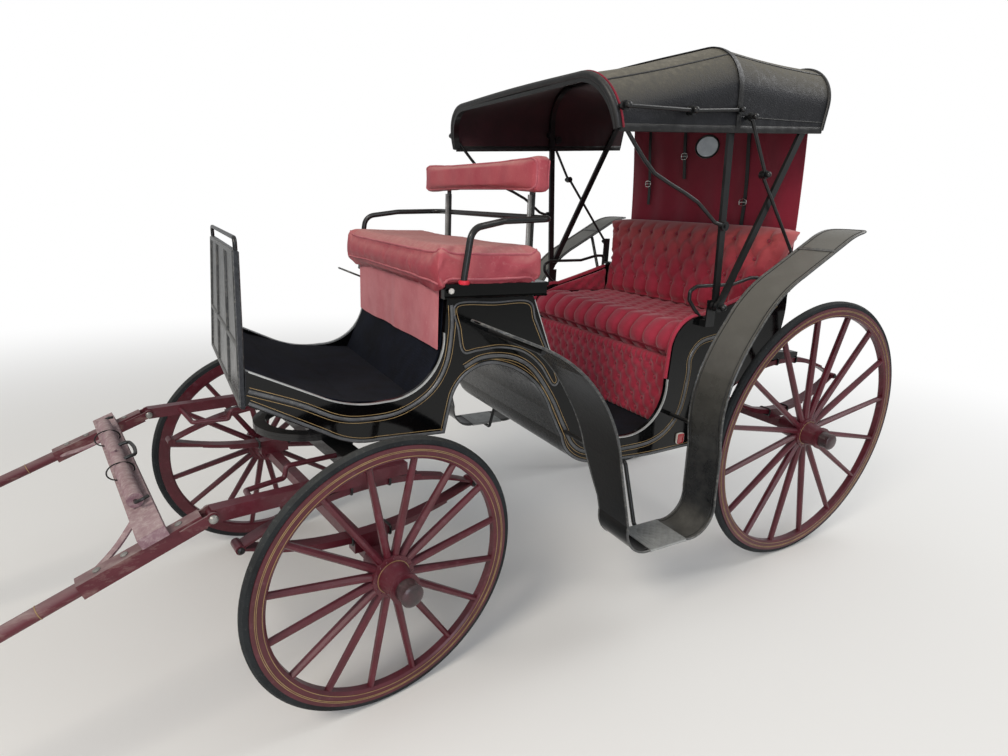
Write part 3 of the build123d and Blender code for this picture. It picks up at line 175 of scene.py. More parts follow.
def weathered(name, look):
    # Two tones in large soft patches, fine speckle, dust that settles on faces that look up, and a fine bump.
    # The height tone is (low, high, colour, amount): the colour turns to the given one from low to high, blurred by the
    # patches; on the curtain it is painted shade, on other finishes a paler or greyer top.
    material = bpy.data.materials.new(name)
    material.use_nodes = True
    tree = material.node_tree
    shader = tree.nodes["Principled BSDF"]
    place = addNode(tree, "ShaderNodeTexCoord").outputs["Object"]
    if "stretch" in look:
        place = addNode(tree, "ShaderNodeMapping", None, {"Vector": place, "Scale": look["stretch"]}).outputs[0]
    patch = addNode(tree, "ShaderNodeTexNoise", None,
                    {"Vector": place, "Scale": perMetre(look["patchMm"]), "Detail": 4.0, "Roughness": 0.6})
    tone = addNode(tree, "ShaderNodeMapRange", None,
                   {"Value": patch.outputs["Fac"], "From Min": 0.35, "From Max": 0.68})
    colour = addNode(tree, "ShaderNodeMix", {"data_type": "RGBA"},
                     {0: tone.outputs[0], 6: linear(look["colour"]), 7: linear(look["second"])})
    speck = addNode(tree, "ShaderNodeTexNoise", None,
                    {"Vector": place, "Scale": perMetre(look["speckMm"]), "Detail": 6.0, "Roughness": 0.7})
    speckMask = addNode(tree, "ShaderNodeMapRange", None,
                        {"Value": speck.outputs["Fac"], "From Min": look.get("speckFrom", 0.56), "From Max": 0.74,
                         "To Max": look.get("speckAmount", 0.35)})
    colour = addNode(tree, "ShaderNodeMix", {"data_type": "RGBA"},
                     {0: speckMask.outputs[0], 6: colour.outputs[2], 7: linear(look.get("speck", look["second"]))})
    facing = addNode(tree, "ShaderNodeSeparateXYZ", None,
                     {0: addNode(tree, "ShaderNodeNewGeometry").outputs["Normal"]})
    upward = addNode(tree, "ShaderNodeMapRange", None,
                     {"Value": facing.outputs["Z"], "From Min": 0.15, "From Max": 1.0, "To Max": look.get("dust", 0.3)})
    broken = addNode(tree, "ShaderNodeMapRange", None,
                     {"Value": speck.outputs["Fac"], "From Min": 0.3, "From Max": 0.7, "To Min": 0.45})
    dustMask = addNode(tree, "ShaderNodeMath", {"operation": "MULTIPLY"},
                       {0: upward.outputs[0], 1: broken.outputs[0]})
    colour = addNode(tree, "ShaderNodeMix", {"data_type": "RGBA"},
                     {0: dustMask.outputs[0], 6: colour.outputs[2], 7: linear(look.get("dustColour", "#8d8a84"))})
    # Colour that changes with height: painted shade on the curtain's top, a paler or greyer top on other finishes
    if "heightFadeAndShade" in look:
        low, high, heightTone, amount = look["heightFadeAndShade"]
        blur = 0.25
        middle = 0.5 * blur + drawingOrigin[2]
        height = addNode(tree, "ShaderNodeSeparateXYZ", None,
                         {0: addNode(tree, "ShaderNodeTexCoord").outputs["Object"]})
        blurred = addNode(tree, "ShaderNodeMath", {"operation": "MULTIPLY_ADD"},
                          {0: patch.outputs["Fac"], 1: blur, 2: height.outputs["Z"]})
        share = addNode(tree, "ShaderNodeMapRange", {"interpolation_type": "SMOOTHSTEP"},
                        {"Value": blurred.outputs[0], "From Min": low + middle, "From Max": high + middle,
                         "To Max": amount})
        colour = addNode(tree, "ShaderNodeMix", {"data_type": "RGBA"},
                         {0: share.outputs[0], 6: colour.outputs[2], 7: linear(heightTone)})
    tree.links.new(colour.outputs[2], shader.inputs["Base Color"])
    rough = addNode(tree, "ShaderNodeMapRange", None,
                    {"Value": speck.outputs["Fac"], "From Min": 0.3, "From Max": 0.7,
                     "To Min": look["rough"][0], "To Max": look["rough"][1]})
    dusty = addNode(tree, "ShaderNodeMath", {"operation": "ADD", "use_clamp": True},
                    {0: rough.outputs[0], 1: dustMask.outputs[0]})
    tree.links.new(dusty.outputs[0], shader.inputs["Roughness"])
    if look.get("bumpMm", 0) > 0:
        scale = perMetre(look["bumpMm"])
        if look.get("grain") == "rib":  # a wave's own length is 0.314 of its scale's
            grain = addNode(tree, "ShaderNodeTexWave", {"bands_direction": "Y"},
                            {"Vector": place, "Scale": 0.314 * scale, "Distortion": 0.6, "Detail": 2.0})
        else:
            kind = "ShaderNodeTexVoronoi" if look.get("grain") == "leather" else "ShaderNodeTexNoise"
            grain = addNode(tree, kind, None, {"Vector": place, "Scale": scale})
        bump = addNode(tree, "ShaderNodeBump", None,
                       {"Strength": look["bump"], "Distance": look["bumpMm"] / 4000.0, "Height": grain.outputs[0]})
        tree.links.new(bump.outputs[0], shader.inputs["Normal"])
    shader.inputs["Metallic"].default_value = look.get("metallic", 0.0)
    shader.inputs["Coat Weight"].default_value = look.get("coat", 0.0)
    shader.inputs["Coat Roughness"].default_value = look.get("coatRough", 0.08)
    shader.inputs["Sheen Weight"].default_value = look.get("sheen", 0.0)
    shader.inputs["Sheen Roughness"].default_value = 0.5
    shader.inputs["Specular IOR Level"].default_value = look.get("gloss", 0.5)
    return material


# Oil paint on ash, brushed and years old: crimson maroon with a chalky lavender bloom where the sun reached it
wornCrimson = weathered("agedCrimsonOilPaint", {
    "colour": "#48101a", "second": "#5a1a27", "patchMm": 130, "speck": "#84606a", "speckMm": 26, "speckAmount": 0.28,
    "gloss": 0.35, "rough": (0.32, 0.52), "dust": 0.12, "dustColour": "#857078", "bumpMm": 6, "bump": 0.25, "coat": 0.3,
    "coatRough": 0.2})
# The same paint on shafts and irons, rubbed down to pale timber and grey primer on the lifted faces
rubbedShaft = weathered("rubbedShaftPaint", {
    "colour": "#4f1822", "second": "#632c34", "patchMm": 90, "speck": "#a8948a", "speckMm": 30, "speckAmount": 0.5,
    "speckFrom": 0.5, "rough": (0.4, 0.62), "dust": 0.5, "dustColour": "#a39a98", "bumpMm": 9, "bump": 0.35,
    "stretch": (0.35, 1.0, 1.0), "gloss": 0.35})
# Crossbar ash, its paint almost gone: pale grey wood with pink in the grain
paleAsh = weathered("barePaleAsh", {
    "colour": "#90737a", "second": "#7a5861", "patchMm": 70, "speck": "#c2b3b0", "speckMm": 16, "speckAmount": 0.6,
    "speckFrom": 0.46, "rough": (0.6, 0.85), "dust": 0.3, "dustColour": "#c4bab0", "bumpMm": 8, "bump": 0.4})
# Extruded solid rubber, greyed by road dust
dustyRubber = weathered("dustySolidRubber", {
    "colour": "#17191b", "second": "#282c2e", "patchMm": 120, "speck": "#6d6f6c", "speckMm": 9, "speckAmount": 0.35,
    "rough": (0.7, 0.9), "dust": 0.25, "dustColour": "#77756f", "bumpMm": 4, "bump": 0.3, "gloss": 0.3})
# Coach black: many coats of oil varnish rubbed flat, deep gloss with a thin film of dust
coachBlack = weathered("rubbedCoachBlack", {
    "colour": "#040405", "second": "#070808", "patchMm": 260, "speck": "#151617", "speckMm": 14, "speckAmount": 0.3,
    "rough": (0.08, 0.16), "dust": 0.06, "dustColour": "#4d4f4a", "bumpMm": 60, "bump": 0.04, "gloss": 0.22,
    "coat": 0.12, "coatRough": 0.03})
# Coach mouldings: the same black, rubbed through to a grey edge by years of wiping
rubbedMoulding = weathered("wipedGreyMoulding", {
    "colour": "#55575a", "second": "#3a3c3f", "patchMm": 60, "speck": "#8b8a84", "speckMm": 9, "speckAmount": 0.6,
    "rough": (0.25, 0.45), "dust": 0.2, "coat": 0.4, "bumpMm": 5, "bump": 0.2})
# Forged iron, brush painted black
paintedIron = weathered("brushPaintedIron", {
    "colour": "#0a0b0c", "second": "#131415", "patchMm": 60, "speck": "#38332f", "speckMm": 7, "speckAmount": 0.35,
    "rough": (0.3, 0.5), "dust": 0.18, "dustColour": "#6b6862", "bumpMm": 4, "bump": 0.35, "gloss": 0.35,
    "coat": 0.3})
# Bright iron: once plated, now dull and grey
dullPlatedIron = weathered("dullPlatedIron", {
    "colour": "#a8a7a2", "second": "#8b8a86", "patchMm": 40, "speck": "#5a564f", "speckMm": 6, "speckAmount": 0.4,
    "rough": (0.3, 0.5), "dust": 0.1, "metallic": 0.75, "bumpMm": 5, "bump": 0.2})
# Nickel plate on buckles and studs, still bright
brightSteel = weathered("brightNickelPlate", {
    "colour": "#d6d6d2", "second": "#bcbcb8", "patchMm": 20, "speck": "#8a8780", "speckMm": 4, "speckAmount": 0.3,
    "rough": (0.15, 0.3), "dust": 0.05, "metallic": 0.9})
# Patent leather: varnished hide, crazed, grey in wide random patches and on the faces that look up, and greyer towards
# the top
patentLeather = weathered("scuffedPatentLeather", {
    "colour": "#101214", "second": "#1a1c1d", "patchMm": 220, "speck": "#6f6e68", "speckMm": 90, "speckAmount": 0.2,
    "speckFrom": 0.5, "rough": (0.2, 0.36), "dust": 0.45, "dustColour": "#8b8880", "bumpMm": 14, "bump": 0.08,
    "grain": "leather", "gloss": 0.35, "coat": 0.2, "coatRough": 0.15, "heightFadeAndShade": (0.55, 1.35, "#75736c", 0.85)})
# Leather bindings, rolls and straps: black, oiled, grey at the edges
boundLeather = weathered("oiledBindingLeather", {
    "colour": "#0b0b0c", "second": "#1c1c1d", "patchMm": 70, "speck": "#5f5d58", "speckMm": 12, "speckAmount": 0.35,
    "rough": (0.35, 0.55), "dust": 0.3, "dustColour": "#76746e", "bumpMm": 3, "bump": 0.3, "grain": "leather"})
# Hood leather: dressed hide with a pebbled face, blue black at the sides, dry and dusty on top
hoodLeather = weathered("dryHoodLeather", {
    "colour": "#0c0d11", "second": "#16171c", "patchMm": 180, "speck": "#45464a", "speckMm": 20, "speckAmount": 0.35,
    "rough": (0.38, 0.6), "dust": 0.85, "dustColour": "#8b8678", "bumpMm": 5, "bump": 0.4, "grain": "leather",
    "gloss": 0.35})
# Hood lining: the curtain's woollen cloth, painted a dark brownish red as the shade inside the hood
hoodLining = weathered("shadedRedWoolLining", {
    "colour": "#2a0c12", "second": "#3b131b", "patchMm": 140, "speck": "#5a2a32", "speckMm": 7, "speckAmount": 0.4,
    "rough": (0.85, 0.98), "dust": 0.05, "bumpMm": 4, "bump": 0.3, "sheen": 0.2})
# Back curtain: the same wool as the lining, deep crimson, with painted shade darkening its top under the hood
crimsonCurtain = weathered("deepCrimsonWool", {
    "colour": "#86162c", "second": "#9c2039", "patchMm": 180, "speck": "#a83a50", "speckMm": 7, "speckAmount": 0.3,
    "rough": (0.85, 0.98), "dust": 0.05, "bumpMm": 4, "bump": 0.3, "sheen": 0.25,
    # painted shade: darker towards the top, where the hood shades it
    "heightFadeAndShade": (1.45, 1.80, "#4c0e1c", 0.45)})
# Cotton rep: ribbed cloth, rose red, turning a paler salmon towards the top; its weave is drawn at 4 mm so that it
# shows
roseCloth = weathered("roseCottonRep", {
    "colour": "#981a32", "second": "#a92740", "patchMm": 110, "speck": "#c2586c", "speckMm": 8, "speckAmount": 0.3,
    "heightFadeAndShade": (1.16, 1.46, "#b4544f", 0.75),
    "rough": (0.75, 0.92), "dust": 0.14, "dustColour": "#c0606c", "bumpMm": 4, "bump": 0.25, "sheen": 0.3})
# Covered buttons, a shade darker from handling
buttonCloth = weathered("coveredButtonRep", {
    "colour": "#8c1a30", "second": "#9c2a40", "patchMm": 30, "speck": "#b04a60", "speckMm": 4, "speckAmount": 0.3,
    "rough": (0.7, 0.9), "dust": 0.15, "dustColour": "#c86a80", "bumpMm": 3, "bump": 0.2, "sheen": 0.3})
# Piping cord in wine red cloth
maroonPiping = weathered("wineRedPiping", {
    "colour": "#6a0f20", "second": "#84182e", "patchMm": 50, "speck": "#a84a5c", "speckMm": 5, "speckAmount": 0.35,
    "rough": (0.7, 0.9), "dust": 0.2, "dustColour": "#b86a78", "bumpMm": 3, "bump": 0.25})
# Coachman's cushion: leathercloth, bleached to a dusty rose, paler on top
pinkLeather = weathered("bleachedRoseLeathercloth", {
    "colour": "#a03a47", "second": "#b05258", "patchMm": 140, "speck": "#cb8f8c", "speckMm": 14, "speckAmount": 0.35,
    "rough": (0.45, 0.62), "dust": 0.75, "dustColour": "#c49f96", "bumpMm": 5, "bump": 0.15, "grain": "leather"})
pinkPiping = weathered("fadedRosePiping", {
    "colour": "#a34652", "second": "#b9626b", "patchMm": 60, "speck": "#dca8a6", "speckMm": 6, "speckAmount": 0.4,
    "rough": (0.55, 0.75), "dust": 0.4, "dustColour": "#dfb0ac", "bumpMm": 3, "bump": 0.2})
# The apron below it: cotton rep, bleached to pink by the sun
pinkCloth = weathered("bleachedPinkRep", {
    "colour": "#bd5c66", "second": "#cb747a", "patchMm": 120, "speck": "#e0b2b2", "speckMm": 10, "speckAmount": 0.35,
    "rough": (0.8, 0.95), "dust": 0.25, "dustColour": "#deb0ae", "bumpMm": 4, "bump": 0.25, "sheen": 0.25})
# Cut pile carpet, dark blue and trodden
darkCarpet = weathered("troddenBlueCarpet", {
    "colour": "#0b0e17", "second": "#131825", "patchMm": 90, "speck": "#5a5f6a", "speckMm": 5, "speckAmount": 0.5,
    "speckFrom": 0.62, "rough": (0.9, 1.0), "dust": 0.05, "bumpMm": 9, "bump": 0.9, "grain": "rib", "gloss": 0.15})
# Cast iron tread, painted grey and polished by shoes
castTread = weathered("wornCastTread", {
    "colour": "#a6a8a6", "second": "#8e908e", "patchMm": 50, "speck": "#6a6a66", "speckMm": 8, "speckAmount": 0.4,
    "rough": (0.4, 0.6), "dust": 0.1, "metallic": 0.3, "bumpMm": 3, "bump": 0.3})
# Gold size line, brushed by hand and gone brown in places
goldLine = weathered("agedGoldLining", {
    "colour": "#a48a5c", "second": "#866c44", "patchMm": 70, "speck": "#5a4632", "speckMm": 10, "speckAmount": 0.3,
    "rough": (0.35, 0.5), "dust": 0.05})
# Moulded acrylic lens of a rear reflector: deep red, smooth and wet looking
redLens = weathered("mouldedRedAcrylic", {
    "colour": "#8e0a12", "second": "#a3121a", "patchMm": 20, "speck": "#b83038", "speckMm": 3, "speckAmount": 0.2,
    "rough": (0.05, 0.12), "dust": 0.05, "coat": 1.0, "coatRough": 0.03})
# Rims and studs in white enamel, chipped at the edges
whiteEnamel = weathered("chippedWhiteEnamel", {
    "colour": "#dedcd6", "second": "#cfccc5", "patchMm": 30, "speck": "#8f8b84", "speckMm": 5, "speckAmount": 0.25,
    "rough": (0.2, 0.35), "dust": 0.05, "coat": 0.4})
# Window glass, blown and slightly grey
paneGlass = weathered("greyedPaneGlass", {
    "colour": "#c9cfd2", "second": "#b9c0c4", "patchMm": 40, "speck": "#e2e5e6", "speckMm": 12, "speckAmount": 0.3,
    "rough": (0.04, 0.12), "dust": 0.05, "coat": 0.5})
paneGlass.node_tree.nodes["Principled BSDF"].inputs["Transmission Weight"].default_value = 0.6
# Edge strips of the stepping openings: pale zinc, scraped bright by boots
wornEdge = weathered("scrapedZincEdge", {
    "colour": "#c9cbc9", "second": "#aeb0ae", "patchMm": 40, "speck": "#75746f", "speckMm": 7, "speckAmount": 0.4,
    "rough": (0.3, 0.5), "dust": 0.05, "metallic": 0.5, "bumpMm": 5, "bump": 0.2})
# Wired leather edges, rubbed grey where hands and weather reach them
wornWire = weathered("rubbedWiredEdge", {
    "colour": "#3b3d3f", "second": "#202223", "patchMm": 70, "speck": "#8b8982", "speckMm": 10, "speckAmount": 0.6,
    "speckFrom": 0.48, "rough": (0.3, 0.5), "dust": 0.4, "dustColour": "#8e8b84", "bumpMm": 4, "bump": 0.2,
    "coat": 0.3})
# Hub caps: turned iron under black paint, wine red showing where it has chipped
capIron = weathered("chippedCapIron", {
    "colour": "#1d1012", "second": "#3a161e", "patchMm": 30, "speck": "#6b4a50", "speckMm": 6, "speckAmount": 0.4,
    "rough": (0.3, 0.5), "dust": 0.15, "coat": 0.4, "bumpMm": 4, "bump": 0.25})
# Loose rubber rings, bright red
redRubber = weathered("mouldedRedRubber", {
    "colour": "#c8102a", "second": "#d8283c", "patchMm": 30, "speck": "#e06070", "speckMm": 5, "speckAmount": 0.2,
    "rough": (0.4, 0.55), "dust": 0.1})
# Front mudguards and dash: newer varnish, glossy black with little dust
glossPatent = weathered("glossPatentLeather", {
    "colour": "#060708", "second": "#0b0c0d", "patchMm": 200, "speck": "#2c2c2a", "speckMm": 40, "speckAmount": 0.2,
    "speckFrom": 0.52, "rough": (0.12, 0.24), "dust": 0.2, "dustColour": "#5b5a56", "bumpMm": 14, "bump": 0.06,
    "grain": "leather", "gloss": 0.22, "coat": 0.08, "coatRough": 0.08})
# Underside of the boot: satin black, never polished
satinBlack = weathered("satinCoachBlack", {
    "colour": "#060606", "second": "#0c0c0b", "patchMm": 200, "speck": "#1d1e1a", "speckMm": 14, "speckAmount": 0.3,
    "rough": (0.2, 0.34), "dust": 0.0, "bumpMm": 40, "bump": 0.05, "gloss": 0.25})
print("materials made")

# The finish of each solid's node
nodeLooks = (
    (wornCrimson, "wheel_rear_left wheel_rear_right wheel_front_left wheel_front_right front_axle rear_axle "
                  "front_springs rear_springs futchells"),
    (dustyRubber, "tyre_rear_left tyre_rear_right tyre_front_left tyre_front_right"),
    (rubbedShaft, "shafts"),
    (paleAsh, "shaft_crossbar swingletree"),
    (coachBlack, "body_side_left body_side_right back_panel seat_risers box_plinth"),
    (satinBlack, "cutunder_panel"),
    (darkCarpet, "floor_boards"),
    (glossPatent, "dash_panel front_wings"),
    (patentLeather, "rear_wings"),
    (hoodLeather, "hood_roof_front hood_roof_rear"),
    (pinkCloth, "box_cushion box_apron box_backrest_pad"),
    (roseCloth, "seat_fall seat_cushion seat_backrest seat_squabs hood_curtain"),
    (castTread, "steps"),
    (paintedIron, "dash_rail box_rail arm_rails wing_irons rear_body_irons turning_plate_upper turning_plate_lower "
                  "hood_pivots hood_rear_bow hood_main_bow hood_front_bow prop_lower prop_upper top_iron_rear "
                  "top_iron_front"),
)
for finish, names in nodeLooks:
    for nodeName in names.split():
        for slot in nodes[nodeName].material_slots:
            slot.material = finish
print("solids dressed")


# Shapes. A part is its points in the drawing frame and its faces; a piece is one or more parts with a finish.
def linkGrid(rows, columns, wrapRows=False, wrapColumns=False):
    # Quads between neighbouring points of a grid whose points are numbered row by row.
    i = np.arange(rows if wrapRows else rows - 1)[:, None]
    j = np.arange(columns if wrapColumns else columns - 1)[None, :]
    below, beside = (i + 1) % rows, (j + 1) % columns
    return np.stack([i * columns + j, i * columns + beside, below * columns + beside, below * columns + j],
                    -1).reshape(-1, 4).tolist()


def joinParts(parts):
    # Puts parts end to end and moves each one's face numbers up by the points before it.
    points, faces, count = [], [], 0
    for part in parts:
        points.append(np.asarray(part[0]).reshape(-1, 3))
        faces.extend([[index + count for index in face] for face in part[1]])
        count += len(points[-1])
    return np.concatenate(points), faces


def flipped(part):
    # The same part on the other side of the middle plane: y turns to -y.
    return part[0] * (1, -1, 1), [face[::-1] for face in part[1]]


def turnedFore(part):
    # Into the steered front carriage: a turn by the parked steer about the kingpin.
    x, y, z = part[0].T
    c, s = math.cos(parkedSteer), math.sin(parkedSteer)
    return np.stack([wheelbase + x * c - y * s, x * s + y * c, z], -1), part[1]


def makePiece(name, part, finish, rides=None, sharp=35, second=None):
    # A mesh with faces outward, smooth apart from edges sharper than the angle; second is (finish, first face).
    mesh = bpy.data.meshes.new(name)
    mesh.from_pydata((part[0] + drawingOrigin).tolist(), [], part[1])
    mesh.materials.append(finish)
    if second:
        mesh.materials.append(second[0])
        slots = np.zeros(len(part[1]), dtype=np.int32)
        slots[second[1]:] = 1
        mesh.polygons.foreach_set("material_index", slots)
    work = bmesh.new()
    work.from_mesh(mesh)
    bmesh.ops.recalc_face_normals(work, faces=work.faces)
    work.to_mesh(mesh)
    work.free()
    mesh.polygons.foreach_set("use_smooth", np.ones(len(mesh.polygons), dtype=bool))
    mesh.set_sharp_from_angle(angle=math.radians(sharp))
    made = bpy.data.objects.new(name, mesh)
    bpy.context.collection.objects.link(made)
    if rides:
        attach(made, rides)
    return made


def smoothLine(points, count, closed=False):
    # Cubic curve through the points, whose slope at each is half the run between its neighbours, in equal steps.
    p = np.asarray(points, float)
    if closed:
        p = np.vstack([p[-1:], p, p[:2]])
    else:
        p = np.vstack([2 * p[:1] - p[1:2], p, 2 * p[-1:] - p[-2:-1]])
    t = np.linspace(0, 1, 24, endpoint=False)[None, :, None]
    a, b, c, d = (p[k:len(p) - 3 + k, None, :] for k in range(4))
    curve = 0.5 * (2 * b + (c - a) * t + (2 * a - 5 * b + 4 * c - d) * t ** 2 + (3 * b - a - 3 * c + d) * t ** 3)
    curve = np.vstack([curve.reshape(-1, p.shape[1]), p[-2:-1]])
    run = np.concatenate([[0], np.cumsum(np.linalg.norm(np.diff(curve, axis=0), axis=1))])
    steps = np.linspace(0, run[-1], count + 1)[:-1] if closed else np.linspace(0, run[-1], count)
    return np.stack([np.interp(steps, run, curve[:, k]) for k in range(p.shape[1])], -1)


def arcLine(start, moves, step=0.006):
    # Straight runs (x, z) and arcs through a middle point (mid x, mid z, end x, end z), in steps of about 6 mm.
    line, here = [np.array([start], float)], np.array(start, float)
    for move in moves:
        end = np.array(move[-2:], float)
        if len(move) == 2:
            count = max(2, int(np.linalg.norm(end - here) / step))
            line.append(here + (end - here) * np.linspace(0, 1, count + 1)[1:, None])
        else:
            mid = np.array(move[:2], float)
            left = np.stack([mid - here, end - here]) * 2
            centre = np.linalg.solve(left, [mid @ mid - here @ here, end @ end - here @ here])
            radius = np.linalg.norm(here - centre)
            first, middle, last = (math.atan2(q[1] - centre[1], q[0] - centre[0]) for q in (here, mid, end))
            full = 2 * math.pi
            sweep = (last - first) % full
            if (middle - first) % full > sweep:
                sweep -= full
            angle = first + sweep * np.linspace(0, 1, max(3, int(abs(sweep) * radius / step)) + 1)[1:]
            line.append(centre + radius * np.stack([np.cos(angle), np.sin(angle)], -1))
        here = end
    return np.concatenate(line)


def carried(path, profile, up, closed=False):
    # Profile carried along a path: path[i] + profile[j].x * side[i] + profile[j].y * rise[i]; side is along x up.
    path = np.asarray(path, float)
    if closed:
        along = np.roll(path, -1, 0) - np.roll(path, 1, 0)
    else:
        along = np.gradient(path, axis=0)
    along = along / np.linalg.norm(along, axis=1, keepdims=True)
    side = np.cross(along, np.broadcast_to(np.asarray(up, float), path.shape))
    side = side / np.linalg.norm(side, axis=1, keepdims=True)
    rise = np.cross(side, along)
    profile = np.asarray(profile, float)
    if profile.ndim == 2:
        profile = np.broadcast_to(profile, (len(path), *profile.shape))
    points = path[:, None] + profile[..., :1] * side[:, None] + profile[..., 1:] * rise[:, None]
    rows, columns = points.shape[:2]
    faces = linkGrid(rows, columns, wrapRows=closed, wrapColumns=True)
    if not closed:
        faces += [list(range(columns))[::-1], [(rows - 1) * columns + k for k in range(columns)]]
    return points.reshape(-1, 3), faces


def roundProfile(radius, count=10):
    # Circle of the radius, as points (across, up).
    angle = np.arange(count) * 2 * math.pi / count
    return np.stack([np.cos(angle), np.sin(angle)], -1) * radius


def halfRound(width, height, sink=0.001, count=7):
    # Half an ellipse on a flat foot that sinks a little into what carries it.
    angle = np.linspace(0, math.pi, count)
    dome = np.stack([np.cos(angle) * width / 2, np.sin(angle) * height], -1)
    return np.vstack([dome, [(-width / 2, -sink), (width / 2, -sink)]])


def stripProfile(width, height, sink=0.0008):
    # Rectangle on the surface, its foot a little below it.
    return np.array([(width / 2, -sink), (width / 2, height), (-width / 2, height), (-width / 2, -sink)])


def cappedFaces(rows, count):
    # Faces of closed rings whose two ends meet in a pole each, with the poles numbered last.
    k = np.arange(count)
    after, last, pole = (k + 1) % count, (rows - 1) * count, rows * count
    foot = np.stack([np.full(count, pole), k, after], -1).tolist()
    head = np.stack([np.full(count, pole + 1), last + after, last + k], -1).tolist()
    return linkGrid(rows, count, wrapColumns=True) + foot + head


def spun(profile, centre, axis, count=32):
    # Profile (radius, height) turned about an axis; both ends of the profile lie on the axis.
    axis = np.asarray(axis, float) / np.linalg.norm(axis)
    first = np.cross(axis, (0.31, 0.22, 0.93))
    first /= np.linalg.norm(first)
    second = np.cross(axis, first)
    angle = np.arange(count) * 2 * math.pi / count
    outward = np.cos(angle)[:, None] * first + np.sin(angle)[:, None] * second
    profile = np.asarray(profile, float)
    inner = profile[1:-1]
    rings = inner[:, None, :1] * outward + inner[:, None, 1:] * axis
    ends = profile[[0, -1], 1][:, None] * axis
    points = np.vstack([rings.reshape(-1, 3), ends]) + np.asarray(centre, float)
    return points, cappedFaces(len(inner), count)


def ballProfile(radius, count=9):
    # Half circle (radius cos, radius sin) from pole to pole, for spun().
    angle = np.linspace(-math.pi / 2, math.pi / 2, count)
    return np.stack([np.abs(np.cos(angle)) * radius, np.sin(angle) * radius], -1)


def domes(centres, axis, radius, height, count=8):
    # Many low domes, each a quarter ellipse turned about its axis.
    angle = np.linspace(0, math.pi / 2, 4)
    profile = np.vstack([[(0, -height * 0.3), (radius, -height * 0.3)],
                         np.stack([np.cos(angle) * radius, np.sin(angle) * height], -1)])
    return joinParts([spun(profile, centre, axis, count) for centre in centres])


def shell(outer, thickness, inward):
    # Closed wall between a grid of points and the same grid moved inward by the thickness, its four edges joined.
    # Gives its points, its faces and the number of the first face of the inner side.
    rows, columns = outer.shape[:2]
    inner = outer + inward * thickness
    points = np.concatenate([outer.reshape(-1, 3), inner.reshape(-1, 3)])
    front = linkGrid(rows, columns)
    back = (np.array(linkGrid(rows, columns))[:, ::-1] + rows * columns).tolist()
    index = np.arange(rows * columns).reshape(rows, columns)
    rim = np.concatenate([index[0], index[1:, -1], index[-1, -2::-1], index[-2:0:-1, 0]])
    after = np.roll(rim, -1)
    edge = np.stack([rim, rim + rows * columns, after + rows * columns, after], -1).tolist()
    return points, front + edge + back, len(front) + len(edge)


def gridNormals(grid):
    # Unit normals of a grid surface: the cross product of its two slopes.
    normal = np.cross(np.gradient(grid, axis=0), np.gradient(grid, axis=1))
    return normal / np.maximum(np.linalg.norm(normal, axis=-1, keepdims=True), 1e-12)


print("shape functions ready")


# Hood: one curved leather sheet from rear edge to main bow, one from main bow to front rim, lined inside
hood = {"halfWidth": 0.5715, "corner": 0.150, "thick": 0.0034, "sag": 0.010, "sideSag": 0.45, "crown": 0.006,
        "pucker": 0.0016, "puckerWaves": (46, 9), "middleZ": 1.75, "across": 96, "frontRows": 26, "rearRows": 30,
        "sideShare": 0.16, "shoulderShare": 0.18, "hem": 0.004, "bowHalf": 0.018, "rimHalf": 0.030,
        "rearHalf": 0.020}
# Each station: foot (x, z), direction up its plane (x, z), valance height and crown height along that direction
hoodStations = {
    "rear": ((0.243, 1.777), (-0.16440, 0.98639), 0.0, 0.22906),
    "main": ((0.645, 1.140), (0.06325, 0.99800), 0.6012, 0.86870),
    "rim": ((1.183, 1.705), (0.25382, 0.96725), -0.005, 0.16080),
}


def hoodArch(station):
    # Arch at one station: up the side, a quarter round shoulder, across the crown, and down the other side.
    (x0, z0), (dx, dz), low, high = hoodStations[station]
    w, r = hood["halfWidth"], hood["corner"]
    n = hood["across"]
    a, b = int(n * hood["sideShare"]), int(n * hood["shoulderShare"])
    side = np.stack([np.full(a, w), np.linspace(low, high - r, a, endpoint=False)], -1)
    turn = np.linspace(0, math.pi / 2, b, endpoint=False)
    shoulder = np.stack([w - r + r * np.cos(turn), high - r + r * np.sin(turn)], -1)
    half = np.linspace(w - r, 0, n // 2 - a - b + 1)
    crown = np.stack([half, np.full(len(half), high)], -1)
    left = np.vstack([side, shoulder, crown])
    arch = np.vstack([left, (left[:-1] * (-1, 1))[::-1]])
    return np.stack([x0 + arch[:, 1] * dx, arch[:, 0], z0 + arch[:, 1] * dz], -1)


def hoodSkin(first, second, rows):
    # Straight between two stations at share t, drawn in by sag * 4 t (1 - t), most of it at the crown, where a soft
    # rise of cos^2 lifts it, and puckered near the valance by pucker * sin(46 t + 9 share) * sqrt(sin(pi t)).
    a, b = hoodArch(first), hoodArch(second)
    t = np.linspace(0, 1, rows)[:, None, None]
    grid = a + (b - a) * t
    normal = gridNormals(grid)
    middle = np.array((grid[..., 0].mean(), 0.0, hood["middleZ"]))
    outward = np.sign(((grid - middle) * normal).sum(-1, keepdims=True).mean())
    normal = normal * outward
    share = np.linspace(0, 1, grid.shape[1])[None, :, None]
    atCrown = np.exp(-((share - 0.5) / 0.2) ** 4)
    atValance = np.exp(-(np.minimum(share, 1 - share) / 0.09) ** 2)
    sag = hood["sag"] * (4 * t * (1 - t)) * (hood["sideSag"] + (1 - hood["sideSag"]) * atCrown)
    along, across = hood["puckerWaves"]
    pucker = hood["pucker"] * atValance * np.sin(t * along + share * across) * np.sin(math.pi * t) ** 0.5
    lift = hood["crown"] * atCrown * np.cos((share - 0.5) * math.pi / 0.5) ** 2
    return grid - normal * (sag + pucker) + np.array((0, 0, 1.0)) * lift, normal


